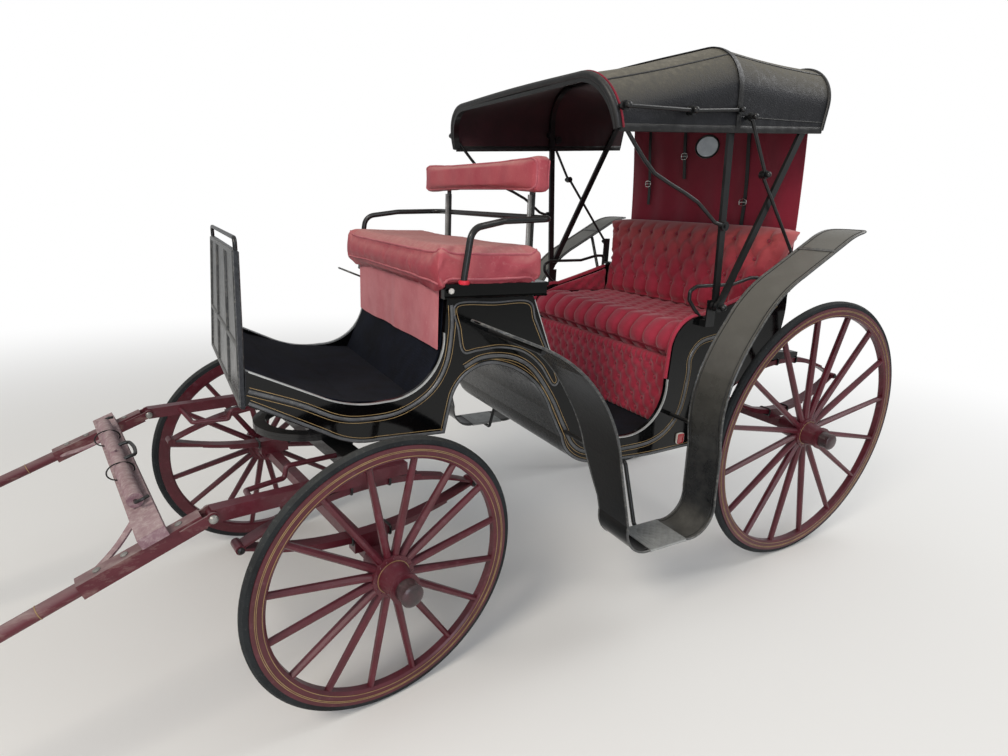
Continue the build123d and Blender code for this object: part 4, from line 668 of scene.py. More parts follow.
rearSkin, rearOut = hoodSkin("rear", "main", hood["rearRows"])
frontSkin, frontOut = hoodSkin("main", "rim", hood["frontRows"])


def welt(grid, column, normal, radius):
    # A piped welt along one column of the skin, half sunk in it.
    return carried(grid[:, column], roundProfile(radius, 8), normal[:, column])


def inHood(made):
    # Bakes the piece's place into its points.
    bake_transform(made)


def midPlane(station, shift):
    # Half way up a station's plane and moved along x, in the file's frame.
    (x0, z0), (dx, dz), low, high = hoodStations[station]
    h = low + (high - low) * 0.5
    return tuple(np.array((x0 + h * dx, 0.0, z0 + h * dz)) + drawingOrigin + np.array((shift, 0, 0)))


hoodHalves = {
    "Front": {"grid": frontSkin, "out": frontOut, "between": ("hood_main", "hood_front"),
              "start": midPlane("main", hood["bowHalf"]), "end": midPlane("rim", -hood["rimHalf"]),
              "node": "hood_roof_front", "rests": ["hood_main_bow", "hood_front_bow"]},
    "Rear": {"grid": rearSkin, "out": rearOut, "between": ("hood_rear", "hood_main"),
             "start": midPlane("rear", hood["rearHalf"]), "end": midPlane("main", -hood["bowHalf"]),
             "node": "hood_roof_rear", "rests": ["hood_rear_bow", "hood_main_bow"]},
}
for label, half in hoodHalves.items():
    points, faces, lining = shell(half["grid"], -hood["thick"], half["out"])
    made = makePiece("hoodLeather" + label, (points, faces), hoodLeather, sharp=60,
                     second=(hoodLining, lining))
    inHood(made)
    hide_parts(half["node"])

# Welts: a bound edge above each valance, a piped seam on each shoulder, and low seams on the rear half
welts = {"binding": (0.0039, 0.0090), "sunk": 0.0017, "shoulder": 0.0032, "shoulderAt": 0.62, "low": 0.0022,
         "lowAt": 0.055, "rearRoll": 0.0062}
shoulderColumn = int(hood["across"] * hood["sideShare"])
shoulderColumn += int(hood["across"] * hood["shoulderShare"] * welts["shoulderAt"])
lowColumn = int(hood["across"] * welts["lowAt"])
wide, tall = welts["binding"]
bindProfile = np.array([(wide, -tall), (wide, tall), (wide * 0.4, tall * 1.3), (-wide * 0.4, tall * 1.3), (-wide, tall),
                        (-wide, -tall), (-wide * 0.4, -tall * 1.3), (wide * 0.4, -tall * 1.3)])
for label, half in hoodHalves.items():
    grid, out = half["grid"], half["out"]
    last = grid.shape[1] - 1
    parts = [carried(grid[:, column] - out[:, column] * welts["sunk"], bindProfile, (0, 0, 1.0))
             for column in (0, last)]
    parts += [welt(grid, column, out, welts["shoulder"]) for column in (shoulderColumn, last - shoulderColumn)]
    if label == "Rear":
        parts += [welt(grid, column, out, welts["low"]) for column in (lowColumn, last - lowColumn)]
    made = makePiece("hoodWelts" + label, joinParts(parts), boundLeather, sharp=50)
    inHood(made)

# Rear edge and main bow: a roll and a flat bound strip over each bow
rearEdge = rearSkin[0] + rearOut[0] * 0.001
makePiece("hoodRearEdgeRoll", carried(rearEdge, roundProfile(welts["rearRoll"], 8), rearOut[0]), boundLeather,
          rides="hood_rear")
bandProfile = np.array([(0.011, -0.002), (0.011, 0.0012), (0, 0.0022), (-0.011, 0.0012), (-0.011, -0.002)])
makePiece("hoodBowBand", carried(rearSkin[-1] + rearOut[-1] * 0.0012, bandProfile, rearOut[-1]), boundLeather,
          rides="hood_main")
# Front rim: a leather roll stuffed with hair, with dark red piping behind it
rim = {"roll": 0.0125, "rollSunk": 0.004, "rollShift": (0.004, 0, -0.001), "piping": 0.0034, "pipingOut": 0.007,
       "pipingShift": (-0.0075, 0, 0)}
rimLine = frontSkin[-1] - frontOut[-1] * rim["rollSunk"] + np.array(rim["rollShift"])
makePiece("hoodRimRoll", carried(rimLine, roundProfile(rim["roll"], 12), frontOut[-1]), boundLeather,
          rides="hood_front")
pipeLine = frontSkin[-1] + frontOut[-1] * rim["pipingOut"] + np.array(rim["pipingShift"])
makePiece("hoodRimPiping", carried(pipeLine, roundProfile(rim["piping"], 8), frontOut[-1]), maroonPiping,
          rides="hood_front")
print("hood made")


# Back curtain: a ring surface between the pane's edge and the curtain's outline, with soft upright folds
curtain = {"half": 0.493, "low": 1.193, "high": 1.968, "corner": 0.110, "paneZ": 1.755, "pane": (0.066, 0.045),
           "fold": 0.005, "thick": 0.0028, "rings": 44, "spokes": 192, "footX": 0.1745, "footZ": 1.190,
           "lean": 49.0 / 780.0, "hem": 0.0050, "fullness": 0.975}


def curtainPlane(y, z, out):
    # Leaning plane of the curtain: x grows by 49 mm over 780 mm of height; out moves off it to the front.
    lean = curtain["lean"]
    square = math.hypot(1.0, lean)
    x = curtain["footX"] + (z - curtain["footZ"]) * lean + out / square
    return np.stack([x, y, z - out * lean / square], -1)


def roundedReach(angle, half, low, high, corner):
    # Distance from the pane's centre to a box with rounded upper corners, by the steepest of its edges.
    c, s = np.cos(angle), np.sin(angle)
    reach = np.minimum(half / np.maximum(np.abs(c), 1e-9), np.where(s > 0, high, low) / np.maximum(np.abs(s), 1e-9))
    centreY, centreZ = half - corner, high - corner
    along = np.abs(c) * centreY + s * centreZ
    off = along ** 2 - (centreY ** 2 + centreZ ** 2 - corner ** 2)
    byCorner = along + np.sqrt(np.maximum(off, 0))
    inCorner = (np.abs(c) * reach > centreY) & (s * reach > centreZ) & (off > 0)
    return np.where(inCorner, np.minimum(byCorner, reach), reach)


angle = np.arange(curtain["spokes"]) * 2 * math.pi / curtain["spokes"]
inner = 1 / np.sqrt((np.cos(angle) / curtain["pane"][0]) ** 2 + (np.sin(angle) / curtain["pane"][1]) ** 2)
outer = roundedReach(angle, curtain["half"], curtain["paneZ"] - curtain["low"], curtain["high"] - curtain["paneZ"],
                     curtain["corner"])
# Rings crowd towards the pane; the folds are upright waves that die out at the pane, the foot and the head
share = np.linspace(0, 1, curtain["rings"])[:, None] ** 1.25
reach = inner + (outer - inner) * share
curtainY = reach * np.cos(angle)
curtainZ = curtain["paneZ"] + reach * np.sin(angle)
height = (curtainZ - curtain["low"]) / (curtain["high"] - curtain["low"])
folds = curtain["fold"] * np.sin(curtainY * 38 + 1.3 * np.sin(curtainZ * 7))
folds *= np.sin(math.pi * np.clip(height, 0, 1)) ** 0.7 * np.clip(share * 2.2, 0, 1)
curtainGrid = curtainPlane(curtainY, curtainZ, folds)
curtainBack = curtainPlane(curtainY, curtainZ, folds - curtain["thick"])
rings, spokes = curtainY.shape
front = np.array(linkGrid(rings, spokes, wrapColumns=True))
back = front[:, ::-1] + rings * spokes
k = np.arange(spokes)
holeEdge = np.stack([k, (k + 1) % spokes, (k + 1) % spokes + rings * spokes, k + rings * spokes], -1)
outEdge = holeEdge[:, ::-1] + (rings - 1) * spokes
curtainFaces = np.concatenate([front, holeEdge, outEdge, back]).tolist()
curtainPoints = np.concatenate([curtainGrid.reshape(-1, 3), curtainBack.reshape(-1, 3)])
curtainPiece = makePiece("backCurtain", (curtainPoints, curtainFaces), crimsonCurtain, sharp=70,
                         second=(hoodLeather, len(front) + 2 * spokes))
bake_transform(curtainPiece)
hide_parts("hood_curtain")


def onCurtain(name, part, finish, sharp=40):
    # A piece on the curtain, its place baked into its points.
    made = makePiece(name, part, finish, sharp=sharp)
    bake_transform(made)
    return made


# Pane: six rings of a flat ellipse, front and back, with a wire frame round it
paneLook = {"half": (0.064, 0.043), "frame": (0.067, 0.046), "wire": 0.0046, "thick": 0.002, "rings": 6}
ellipse = curtainPlane(paneLook["half"][0] * np.cos(angle), curtain["paneZ"] + paneLook["half"][1] * np.sin(angle),
                       np.zeros(spokes))
paneCentre = curtainPlane(np.array(0.0), np.array(curtain["paneZ"]), np.array(0.0))
paneOut = curtainPlane(np.array(0.0), np.array(curtain["paneZ"]), np.array(1.0)) - paneCentre
paneRows = paneLook["rings"]
paneFront = paneCentre + (ellipse[None] - paneCentre) * np.linspace(0.02, 1, paneRows)[:, None, None]
paneFaces = np.array(linkGrid(paneRows, spokes, wrapColumns=True))
paneEdge = np.stack([k, (k + 1) % spokes, (k + 1) % spokes + paneRows * spokes, k + paneRows * spokes], -1)
paneEdge += (paneRows - 1) * spokes
paneCaps = [list(range(spokes))[::-1], [paneRows * spokes + q for q in range(spokes)]]
panePoints = np.concatenate([paneFront.reshape(-1, 3), (paneFront - paneOut * paneLook["thick"]).reshape(-1, 3)])
allPaneFaces = paneFaces.tolist() + (paneFaces[:, ::-1] + paneRows * spokes).tolist() + paneEdge.tolist() + paneCaps
pane = onCurtain("backPane", (panePoints, allPaneFaces), paneGlass, 30)
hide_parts("hood_window")
frameLine = curtainPlane(paneLook["frame"][0] * np.cos(angle), curtain["paneZ"] + paneLook["frame"][1] * np.sin(angle),
                         np.full(spokes, 0.001))
onCurtain("backPaneFrame", carried(frameLine, roundProfile(paneLook["wire"], 8), paneOut, closed=True), paintedIron)

# Three leather straps hang down the lining from the rear bow, each with a bright roller buckle
straps = {"runs": ((0.235, 1.42), (-0.125, 1.62), (-0.36, 1.50)), "top": 1.90, "width": 0.018, "thick": 0.0013,
          "off": 0.0085, "buckleUp": 0.10, "buckleOff": 0.0125, "buckle": (0.015, 0.011), "wire": 0.0022, "pin": 0.0016}
strapParts, buckleParts = [], []
wide, tall = straps["buckle"]
for y, foot in straps["runs"]:
    z = np.linspace(straps["top"], foot, 22)
    line = curtainPlane(y + 0.004 * np.sin(z * 9), z, straps["off"] + 0.003 * np.sin(z * 15))
    strapParts.append(carried(line, stripProfile(straps["width"], straps["thick"], straps["thick"]), paneOut))
    at = curtainPlane(np.array(y), np.array(foot + straps["buckleUp"]), np.array(straps["buckleOff"]))
    loop = smoothLine(at + np.array([(0, -wide, -tall), (0, wide, -tall), (0, wide, tall), (0, -wide, tall)]), 28, True)
    buckleParts.append(carried(loop, roundProfile(straps["wire"], 8), paneOut, closed=True))
    pin = at + np.array([(0, -0.014, 0), (0.001, 0, 0), (0, 0.014, 0)])
    buckleParts.append(carried(pin, roundProfile(straps["pin"], 6), paneOut))
onCurtain("curtainStraps", joinParts(strapParts), boundLeather)
onCurtain("curtainBuckles", joinParts(buckleParts), brightSteel)
hem = curtainPlane(np.linspace(-0.490, 0.490, 60), np.full(60, 1.197), np.full(60, 0.001))
onCurtain("curtainHem", carried(hem, roundProfile(curtain["hem"], 8), paneOut), maroonPiping)
print("curtain made")


# Padded pieces: a copy of the solid is shrunk a little, filled with air as cloth, and then buttoned or quilted
def applyModifiers(piece):
    # Bakes what the modifiers show now into the mesh.
    graph = bpy.context.evaluated_depsgraph_get()
    graph.update()
    baked = bpy.data.meshes.new_from_object(piece.evaluated_get(graph))
    piece.modifiers.clear()
    piece.data = baked


def puffed(name, nodeName, look):
    # Even voxels over the solid's copy, each point moved in by the shrink, then out by at most the cap under air.
    mesh = nodes[nodeName].data.copy()
    made = bpy.data.objects.new(name, mesh)
    bpy.context.collection.objects.link(made)
    work = bmesh.new()
    work.from_mesh(mesh)
    bmesh.ops.remove_doubles(work, verts=work.verts, dist=0.0002)
    bmesh.ops.recalc_face_normals(work, faces=work.faces)
    work.to_mesh(mesh)
    work.free()
    bpy.context.view_layer.objects.active = made
    remesh = made.modifiers.new("remesh", "REMESH")
    remesh.mode, remesh.voxel_size = "VOXEL", look["voxel"]
    applyModifiers(made)
    count = len(made.data.vertices)
    start = np.empty(count * 3)
    made.data.vertices.foreach_get("co", start)
    start = start.reshape(-1, 3)
    normal = np.empty(count * 3)
    made.data.vertex_normals.foreach_get("vector", normal)
    start -= normal.reshape(-1, 3) * look["shrink"]
    made.data.vertices.foreach_set("co", start.ravel())
    air = made.modifiers.new("air", "CLOTH")
    air.settings.effector_weights.gravity = 0.0
    air.settings.use_pressure = True
    air.settings.uniform_pressure_force = look["air"]
    air.settings.quality = 4
    air.point_cache.frame_start, air.point_cache.frame_end = 1, look["frames"]
    for step in range(1, look["frames"] + 1):
        bpy.context.scene.frame_set(step)
        bpy.context.view_layer.update()
    applyModifiers(made)
    bpy.context.scene.frame_set(1)
    moved = np.empty(count * 3)
    made.data.vertices.foreach_get("co", moved)
    move = moved.reshape(-1, 3) - start
    length = np.linalg.norm(move, axis=1, keepdims=True)
    start = start + move * np.minimum(1, look["cap"] / np.maximum(length, 1e-9))
    made.data.vertices.foreach_set("co", start.ravel())
    made.data.materials.clear()
    made.data.materials.append(look["finish"])
    return made


def quilted(piece, pull):
    # Moves every point along its normal by pull(place, normal), both in the drawing frame, then rounds it once.
    count = len(piece.data.vertices)
    place, normal = np.empty(count * 3), np.empty(count * 3)
    piece.data.vertices.foreach_get("co", place)
    piece.data.vertex_normals.foreach_get("vector", normal)
    place, normal = place.reshape(-1, 3) - drawingOrigin, normal.reshape(-1, 3)
    place = place + normal * pull(place, normal)[:, None]
    piece.data.vertices.foreach_set("co", (place + drawingOrigin).ravel())
    piece.data.polygons.foreach_set("use_smooth", np.ones(len(piece.data.polygons), dtype=bool))
    rounding = piece.modifiers.new("rounding", "SUBSURF")
    rounding.levels = rounding.render_levels = 1
    applyModifiers(piece)
    piece.data.polygons.foreach_set("use_smooth", np.ones(len(piece.data.polygons), dtype=bool))


def facing(normal, axis):
    # Nearly 1 where the cloth faces the axis, 0 where it turns away.
    return np.clip((normal @ np.asarray(axis, float) - 0.25) / 0.5, 0, 1)


def diamonds(across, up, pitch, rise):
    # Buttoned quilting: 1 less a round dimple exp(-(r / 0.3 pitch)^1.7) at the nearest button of the two rows beside
    # the place, less a soft crease along the slanting lines a = across/pitch + up/rise and b = across/pitch - up/rise.
    a, b = across / pitch + up / rise, across / pitch - up / rise
    line = np.exp(-((a - np.round(a)) / 0.15) ** 2) + np.exp(-((b - np.round(b)) / 0.15) ** 2)
    dimple = np.zeros_like(across)
    for row in (np.floor(2 * up / rise), np.floor(2 * up / rise) + 1):
        beside = across - pitch / 2 * (row % 2)
        beside = beside - pitch * np.round(beside / pitch)
        far = np.hypot(beside, up - row * rise / 2)
        dimple = np.maximum(dimple, np.exp(-(far / (0.30 * pitch)) ** 1.7))
    return 1 - 0.78 * dimple - 0.24 * np.minimum(line, 1)


def pipes(across, pitch):
    # Upright channels: s (2 - s) with s = |sin(pi across / pitch)|, round on top with a narrow crease between them.
    s = np.abs(np.sin(math.pi * across / pitch))
    return s * (2 - s)


def buttonNet(low, high, pitch, rise):
    # Button places (across, up) at the crossings of the creases, which are whole a and b of diamonds().
    i, j = np.meshgrid(np.arange(-60, 61), np.arange(-60, 61))
    across, up = pitch * (i + j) / 2.0, rise * (i - j) / 2.0
    keep = (across > low[0]) & (across < high[0]) & (up > low[1]) & (up < high[1])
    return np.stack([across[keep], up[keep]], -1)


def settle(points, piece, axis):
    # Drops each point on the piece along the axis, so that a button sits in its own dimple.
    graph = bpy.context.evaluated_depsgraph_get()
    graph.update()
    seen = piece.evaluated_get(graph)
    kept = []
    for point in points:
        start = point + drawingOrigin + np.asarray(axis, float) * 0.25
        hit, spot, *_ = seen.ray_cast(start.tolist(), (-np.asarray(axis, float)).tolist())
        if hit:
            kept.append(np.array(spot) - drawingOrigin)
    return np.array(kept)


def upholster(piece, pull, nodeName):
    # Quilts a puffed piece, hangs it on the carriage body, and hides the solid it stands for.
    quilted(piece, pull)
    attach(piece, "carriage_body")
    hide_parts(nodeName)


def buttoned(name, piece, look, axis, lean):
    # Covered buttons at the crossings of the creases; over(across, up) is a place in front of each.
    across, up = buttonNet(*look["net"], look["pitch"], look["rise"]).T
    spots = settle(look["over"](across, up), piece, axis)
    radius, height = look["button"]
    makePiece(name, domes(spots, lean, radius, height), buttonCloth, rides="carriage_body")


seatCloth = {"voxel": 0.0072, "shrink": 0.004, "air": 3.2, "frames": 12, "cap": 0.012, "finish": roseCloth}

# Backrest
backrestLook = dict(seatCloth, pitch=0.084, rise=0.148, deep=0.024, split=1.150, top=1.418, half=0.53,
                    net=((-0.47, -0.01), (0.47, 0.245)), button=(0.0100, 0.0085))
backrestLook["over"] = lambda across, up: np.stack([np.full(len(up), 0.34), across, up + backrestLook["split"]], -1)
backrest = puffed("seatBackrestPadding", "seat_backrest", backrestLook)


def pullBackrest(place, normal):
    # Channels, one and a half rows of diamonds above the split, and channels again at the brow; the sum of the three
    # less its mean, times the depth, fading out at the edges and the back.
    y, z = place[:, 1], place[:, 2]
    look = backrestLook
    upper = np.clip((z - look["split"] + 0.01) / 0.02, 0, 1)
    edge = np.clip((look["top"] - z) / 0.035, 0, 1) * np.clip((look["half"] - np.abs(y)) / 0.05, 0, 1)
    brow = np.clip((z - look["split"] - 1.5 * look["rise"]) / 0.02, 0, 1)
    puff = diamonds(y, z - look["split"], look["pitch"], look["rise"]) * (upper - brow)
    puff += pipes(y, look["pitch"]) * (1 - upper) + pipes(y - look["pitch"] / 2, look["pitch"]) * brow
    return (puff - 0.72) * look["deep"] * facing(normal, (1, 0, 0.1)) * edge


upholster(backrest, pullBackrest, "seat_backrest")
buttoned("backrestButtons", backrest, backrestLook, (1, 0, 0), (1, 0, 0.18))

# Seat cushion
cushionLook = dict(seatCloth, voxel=0.0086, pitch=0.0775, rise=0.130, deep=0.019, front=0.640, half=0.47, nose=1.15,
                   net=((-0.42, -0.28), (0.42, 0.005)), button=(0.0100, 0.0085))
cushionLook["over"] = lambda across, up: np.stack([up + cushionLook["front"], across, np.full(len(up), 1.0)], -1)
seat = puffed("seatCushionPadding", "seat_cushion", cushionLook)


def pullSeat(place, normal):
    # Rounded pipes over the nose, diamonds on the top behind them.
    x, y = place[:, 0], place[:, 1]
    look = cushionLook
    nose = np.clip((x - look["front"]) / 0.012, 0, 1)
    edge = np.clip((look["half"] - np.abs(y)) / 0.03, 0, 1)
    top = (diamonds(y, x - look["front"], look["pitch"], look["rise"]) - 0.7) * facing(normal, (0, 0, 1)) * (1 - nose)
    ahead = np.clip(facing(normal, (1, 0, 0)) + facing(normal, (0, 0, 1)), 0, 1)
    front = (pipes(y, look["pitch"]) - 0.75) * ahead * nose * look["nose"]
    return (top + front) * look["deep"] * edge


upholster(seat, pullSeat, "seat_cushion")
buttoned("seatButtons", seat, cushionLook, (0, 0, 1), (0, 0, 1))

# Fall below the cushion
fallLook = dict(seatCloth, voxel=0.0068, shrink=0.002, air=1.6, cap=0.005, pitch=0.060, rise=0.100, deep=0.013,
                foot=0.690, low=0.645, high=0.935, half=0.44, quilt=(0.672, 0.905),
                net=((-0.42, -0.01), (0.42, 0.21)), button=(0.0085, 0.0065))
fallLook["over"] = lambda across, up: np.stack([np.full(len(up), 0.76), across, up + fallLook["foot"]], -1)
fall = puffed("seatFallPadding", "seat_fall", fallLook)


def pullFall(place, normal):
    # Diamonds over the middle of the front, narrow channels above and below them, fading out at the edges.
    y, z = place[:, 1], place[:, 2]
    look = fallLook
    edge = np.clip((z - look["low"]) / 0.02, 0, 1) * np.clip((look["high"] - z) / 0.02, 0, 1)
    edge *= np.clip((look["half"] - np.abs(y)) / 0.02, 0, 1)
    quilt = np.clip((z - look["quilt"][0]) / 0.012, 0, 1) * np.clip((look["quilt"][1] - z) / 0.012, 0, 1)
    puff = diamonds(y, z - look["foot"], look["pitch"], look["rise"]) * quilt
    puff += pipes(y, look["pitch"] / 2) * (1 - quilt)
    return (puff - 0.75) * look["deep"] * facing(normal, (1, 0, 0)) * edge


upholster(fall, pullFall, "seat_fall")
buttoned("fallButtons", fall, fallLook, (1, 0, 0), (1, 0, 0))

# Side squabs
squabLook = dict(seatCloth, voxel=0.006, shrink=0.002, air=1.6, cap=0.005, pitch=0.072, rise=0.06, deep=0.010,
                 origin=(0.35, 1.055))
squabs = puffed("sideSquabPadding", "seat_squabs", squabLook)


def pullSquabs(place, normal):
    # Small diamonds on the faces that look at the seat.
    look = squabLook
    inward = np.clip((-normal[:, 1] * np.sign(place[:, 1]) - 0.25) / 0.5, 0, 1)
    along, up = place[:, 0] - look["origin"][0], place[:, 2] - look["origin"][1]
    return (diamonds(along, up, look["pitch"], look["rise"]) - 0.8) * look["deep"] * inward


upholster(squabs, pullSquabs, "seat_squabs")

# Coachman's cushion and back pad
boxLook = {"voxel": 0.0095, "shrink": 0.006, "air": 4.0, "frames": 14, "cap": 0.016, "finish": pinkLeather,
           "dent": 0.010, "crease": 0.0009}
boxCushion = puffed("boxCushionPadding", "box_cushion", boxLook)


def pullBox(place, normal):
    # Broad soft dents where the coachman sits, and short creases that run in from the piped edges.
    x, y, z = place.T
    sat = np.exp(-((x - 1.53) / 0.13) ** 2 - ((np.abs(y) - 0.19) / 0.17) ** 2)
    crease = np.sin(y * 70 + 3 * np.sin(x * 21)) * np.exp(-((x - 1.72) / 0.03) ** 2)
    crease += np.sin(x * 75 + 2 * np.sin(z * 40)) * np.exp(-((np.abs(y) - 0.485) / 0.02) ** 2)
    return boxLook["crease"] * crease - boxLook["dent"] * sat * facing(normal, (0, 0, 1))


upholster(boxCushion, pullBox, "box_cushion")
padLook = dict(boxLook, voxel=0.0078, shrink=0.004, air=3.0, cap=0.010, wave=0.0012)
boxPad = puffed("boxBackPadPadding", "box_backrest_pad", padLook)


def pullPad(place, normal):
    # Low upright waves on the front and back: wave sin(48 y).
    return padLook["wave"] * np.sin(place[:, 1] * 48) * np.abs(normal[:, 0])


upholster(boxPad, pullPad, "box_backrest_pad")
print("cushions made")


def boxLoop(low, high, corner, count=120):
    # Rounded rectangle (first, second) from low to high, a superellipse of its two half sizes.
    angle = np.arange(count) * 2 * math.pi / count
    half, middle = (np.array(high) - low) / 2, (np.array(high) + low) / 2
    power = 2 / corner
    return middle + half * np.stack([np.sign(np.cos(angle)) * np.abs(np.cos(angle)) ** power,
                                     np.sign(np.sin(angle)) * np.abs(np.sin(angle)) ** power], -1)


def hugged(line, piece):
    # The nearest places on a piece to the points of a line.
    graph = bpy.context.evaluated_depsgraph_get()
    graph.update()
    seen = piece.evaluated_get(graph)
    places = [seen.closest_point_on_mesh((point + drawingOrigin).tolist())[1] for point in line]
    return np.array([tuple(place) for place in places]) - drawingOrigin


# Piped seams of the coachman's cushion and pad, and the welt along the nose of the passengers' cushion
piping = {"cushion": 0.0038, "cushionZ": (1.330, 1.238), "pad": 0.0034, "padX": (1.335, 1.381), "nose": 0.0045,
          "noseLow": 0.938}
top = boxLoop((1.362, -0.478), (1.722, 0.478), 9)
front = boxLoop((-0.438, 1.509), (0.438, 1.611), 7)
cushionSeams = [hugged(np.column_stack([top, np.full(len(top), z)]), boxCushion) for z in piping["cushionZ"]]
padSeams = [hugged(np.column_stack([np.full(len(front), x), front]), boxPad) for x in piping["padX"]]
for name, seams, radius, up in (("boxCushionPiping", cushionSeams, piping["cushion"], (0, 0, 1)),
                                ("boxPadPiping", padSeams, piping["pad"], (1, 0, 0))):
    parts = [carried(seam, roundProfile(radius, 8), up, closed=True) for seam in seams]
    makePiece(name, joinParts(parts), pinkPiping, rides="carriage_body")
noseLine = hugged(np.column_stack([np.full(90, 0.80), np.linspace(-0.455, 0.455, 90), np.full(90, 0.945)]), seat)
noseLine[:, 2] = np.maximum(noseLine[:, 2], piping["noseLow"])
makePiece("seatNoseWelt", carried(noseLine, roundProfile(piping["nose"], 8), (0, 0, 1)), maroonPiping,
          rides="carriage_body")

# Apron below the coachman's cushion: pink cloth gathered under the plinth, falling in soft upright folds
apron = {"half": 0.404, "low": 1.026, "high": 1.226, "x": 1.6847, "folds": 0.0055, "thick": 0.0016,
         "rows": 34, "columns": 180, "flat": (0.82, 0.204)}
v, u = np.meshgrid(np.linspace(0, 1, apron["rows"]), np.linspace(-1, 1, apron["columns"]), indexing="ij")
broad = 0.36 * np.sin(u * 9 + 1.1 * np.sin(u * 4) + 0.7 * v)
narrow = 0.14 * np.sin(u * 23 + 2 * np.sin(u * 6))
depth = apron["folds"] * (0.35 + 0.65 * v) * (0.5 + broad + narrow)
drop = apron["high"] - (apron["high"] - apron["low"]) * v - 0.0015 * v * np.sin(u * 7)
apronGrid = np.stack([apron["x"] + depth, u * apron["half"], drop], -1)
apronPoints, apronFaces, _ = shell(apronGrid, -apron["thick"], np.broadcast_to((1.0, 0, 0), apronGrid.shape))
apronPiece = makePiece("boxApronCloth", (apronPoints, apronFaces), pinkCloth, rides="carriage_body",
                       sharp=80)
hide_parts("box_apron")
print("apron made")


# Body sides: their outer face swells from the boot to the tub, as two arcs in plan
sidePlan = arcLine((1.3, 0.422), [(1.175, 0.43214, 1.05, 0.461), (0.925, 0.48986, 0.8, 0.5)])[::-1]
sidePlan = np.vstack([(0.0, 0.5), sidePlan, (2.7, 0.422)])
sideOut = (0, 1.0, 0)


def sideFace(x):
    # Half width of the body at x, read from the plan.
    return np.interp(x, sidePlan[:, 0], sidePlan[:, 1])


def onSide(line, out=0.0):
    # Points (x, z) of the side view laid on the body's left side and moved out.
    return np.stack([line[:, 0], sideFace(line[:, 0]) + out, line[:, 1]], -1)


def beside(line, shift):
    # The same line moved sideways in the side view, to the right of its direction.
    along = np.gradient(line, axis=0)
    along /= np.linalg.norm(along, axis=1, keepdims=True)
    return line + np.stack([along[:, 1], -along[:, 0]], -1) * shift


def bothSides(parts):
    # The parts and their mirror images, as one part.
    return joinParts(parts + [flipped(part) for part in parts])


bellyLine = arcLine((2.244, 0.919), [(2.040, 0.803), (1.965, 0.768, 1.885, 0.760), (1.666, 0.752), (1.641, 0.868),
                                     (1.598, 0.935, 1.477, 0.962), (1.360, 0.904, 1.268, 0.775), (1.215, 0.672),
                                     (1.167, 0.590, 1.085, 0.560), (0.600, 0.574), (0.500, 0.630, 0.447, 0.738)])
frontMoulding = smoothLine([(2.240, 0.957), (2.109, 0.903), (2.007, 0.851), (1.925, 0.836), (1.816, 0.844),
                            (1.718, 0.897), (1.666, 0.978), (1.648, 1.088), (1.650, 1.165)], 130)
rearMoulding = smoothLine([(0.972, 0.606), (0.847, 0.622), (0.762, 0.665), (0.711, 0.74), (0.691, 0.87),
                           (0.692, 0.937), (0.649, 0.992), (0.560, 1.012), (0.44, 1.03), (0.33, 1.07),
                           (0.235, 1.125)], 120)
archMoulding = smoothLine([(1.602, 0.965), (1.545, 0.990), (1.472, 0.992), (1.400, 0.972), (1.335, 0.925),
                           (1.262, 0.825), (1.205, 0.715), (1.160, 0.635), (1.095, 0.602), (0.972, 0.606)], 120)
bootPanel = smoothLine([(1.634, 1.166), (1.50, 1.168), (1.375, 1.166), (1.345, 1.105), (1.305, 1.025),
                        (1.262, 0.945), (1.238, 0.885), (1.262, 0.872), (1.315, 0.945), (1.385, 0.998),
                        (1.472, 1.020), (1.555, 1.016), (1.607, 1.015), (1.625, 1.085)], 240, closed=True)
# Each pair is the width and height of a bead or a painted line; the others are distances from its path
beading = {"main": (0.011, 0.0040), "belly": (0.009, 0.0026), "bellyIn": 0.006, "boot": (0.006, 0.0026),
           "gold": (0.0017, 0.0004), "goldAway": 0.011, "bellyGold": (0.0016, 0.0004), "bellyGoldIn": 0.016,
           "bootGoldIn": 0.009}
gold = stripProfile(*beading["gold"])
beads = [carried(onSide(beside(bellyLine, beading["bellyIn"])), halfRound(*beading["belly"]), sideOut)]
lines = []
for line in (frontMoulding, rearMoulding, archMoulding):
    beads.append(carried(onSide(line), halfRound(*beading["main"]), sideOut))
    for shift in (-beading["goldAway"], beading["goldAway"]):
        lines.append(carried(onSide(beside(line, shift)), gold, sideOut))
lines.append(carried(onSide(beside(bellyLine, beading["bellyGoldIn"])), stripProfile(*beading["bellyGold"]), sideOut))
beads.append(carried(onSide(bootPanel), halfRound(*beading["boot"]), sideOut, closed=True))
turn = np.roll(bootPanel, -1, 0) - np.roll(bootPanel, 1, 0)
turn /= np.linalg.norm(turn, axis=1, keepdims=True)
inwards = np.stack([-turn[:, 1], turn[:, 0]], -1)
lines.append(carried(onSide(bootPanel + inwards * beading["bootGoldIn"]), gold, sideOut, closed=True))
makePiece("sideMouldings", bothSides(beads), rubbedMoulding, rides="carriage_body")
makePiece("sideGoldLines", bothSides(lines), goldLine, rides="carriage_body")

# Bright edge strips along the stepping openings, and the red padded edge beside the seat
frontEdge = arcLine((1.672, 1.080), [(1.716, 0.945, 1.860, 0.881), (1.950, 0.884, 2.040, 0.912), (2.236, 1.010)])
sillEdge = arcLine((0.791, 0.862), [(0.792, 0.850), (0.838, 0.712, 0.971, 0.653), (1.010, 0.650),
                                    (1.100, 0.690, 1.172, 0.800), (1.284, 1.004), (1.352, 1.170)])
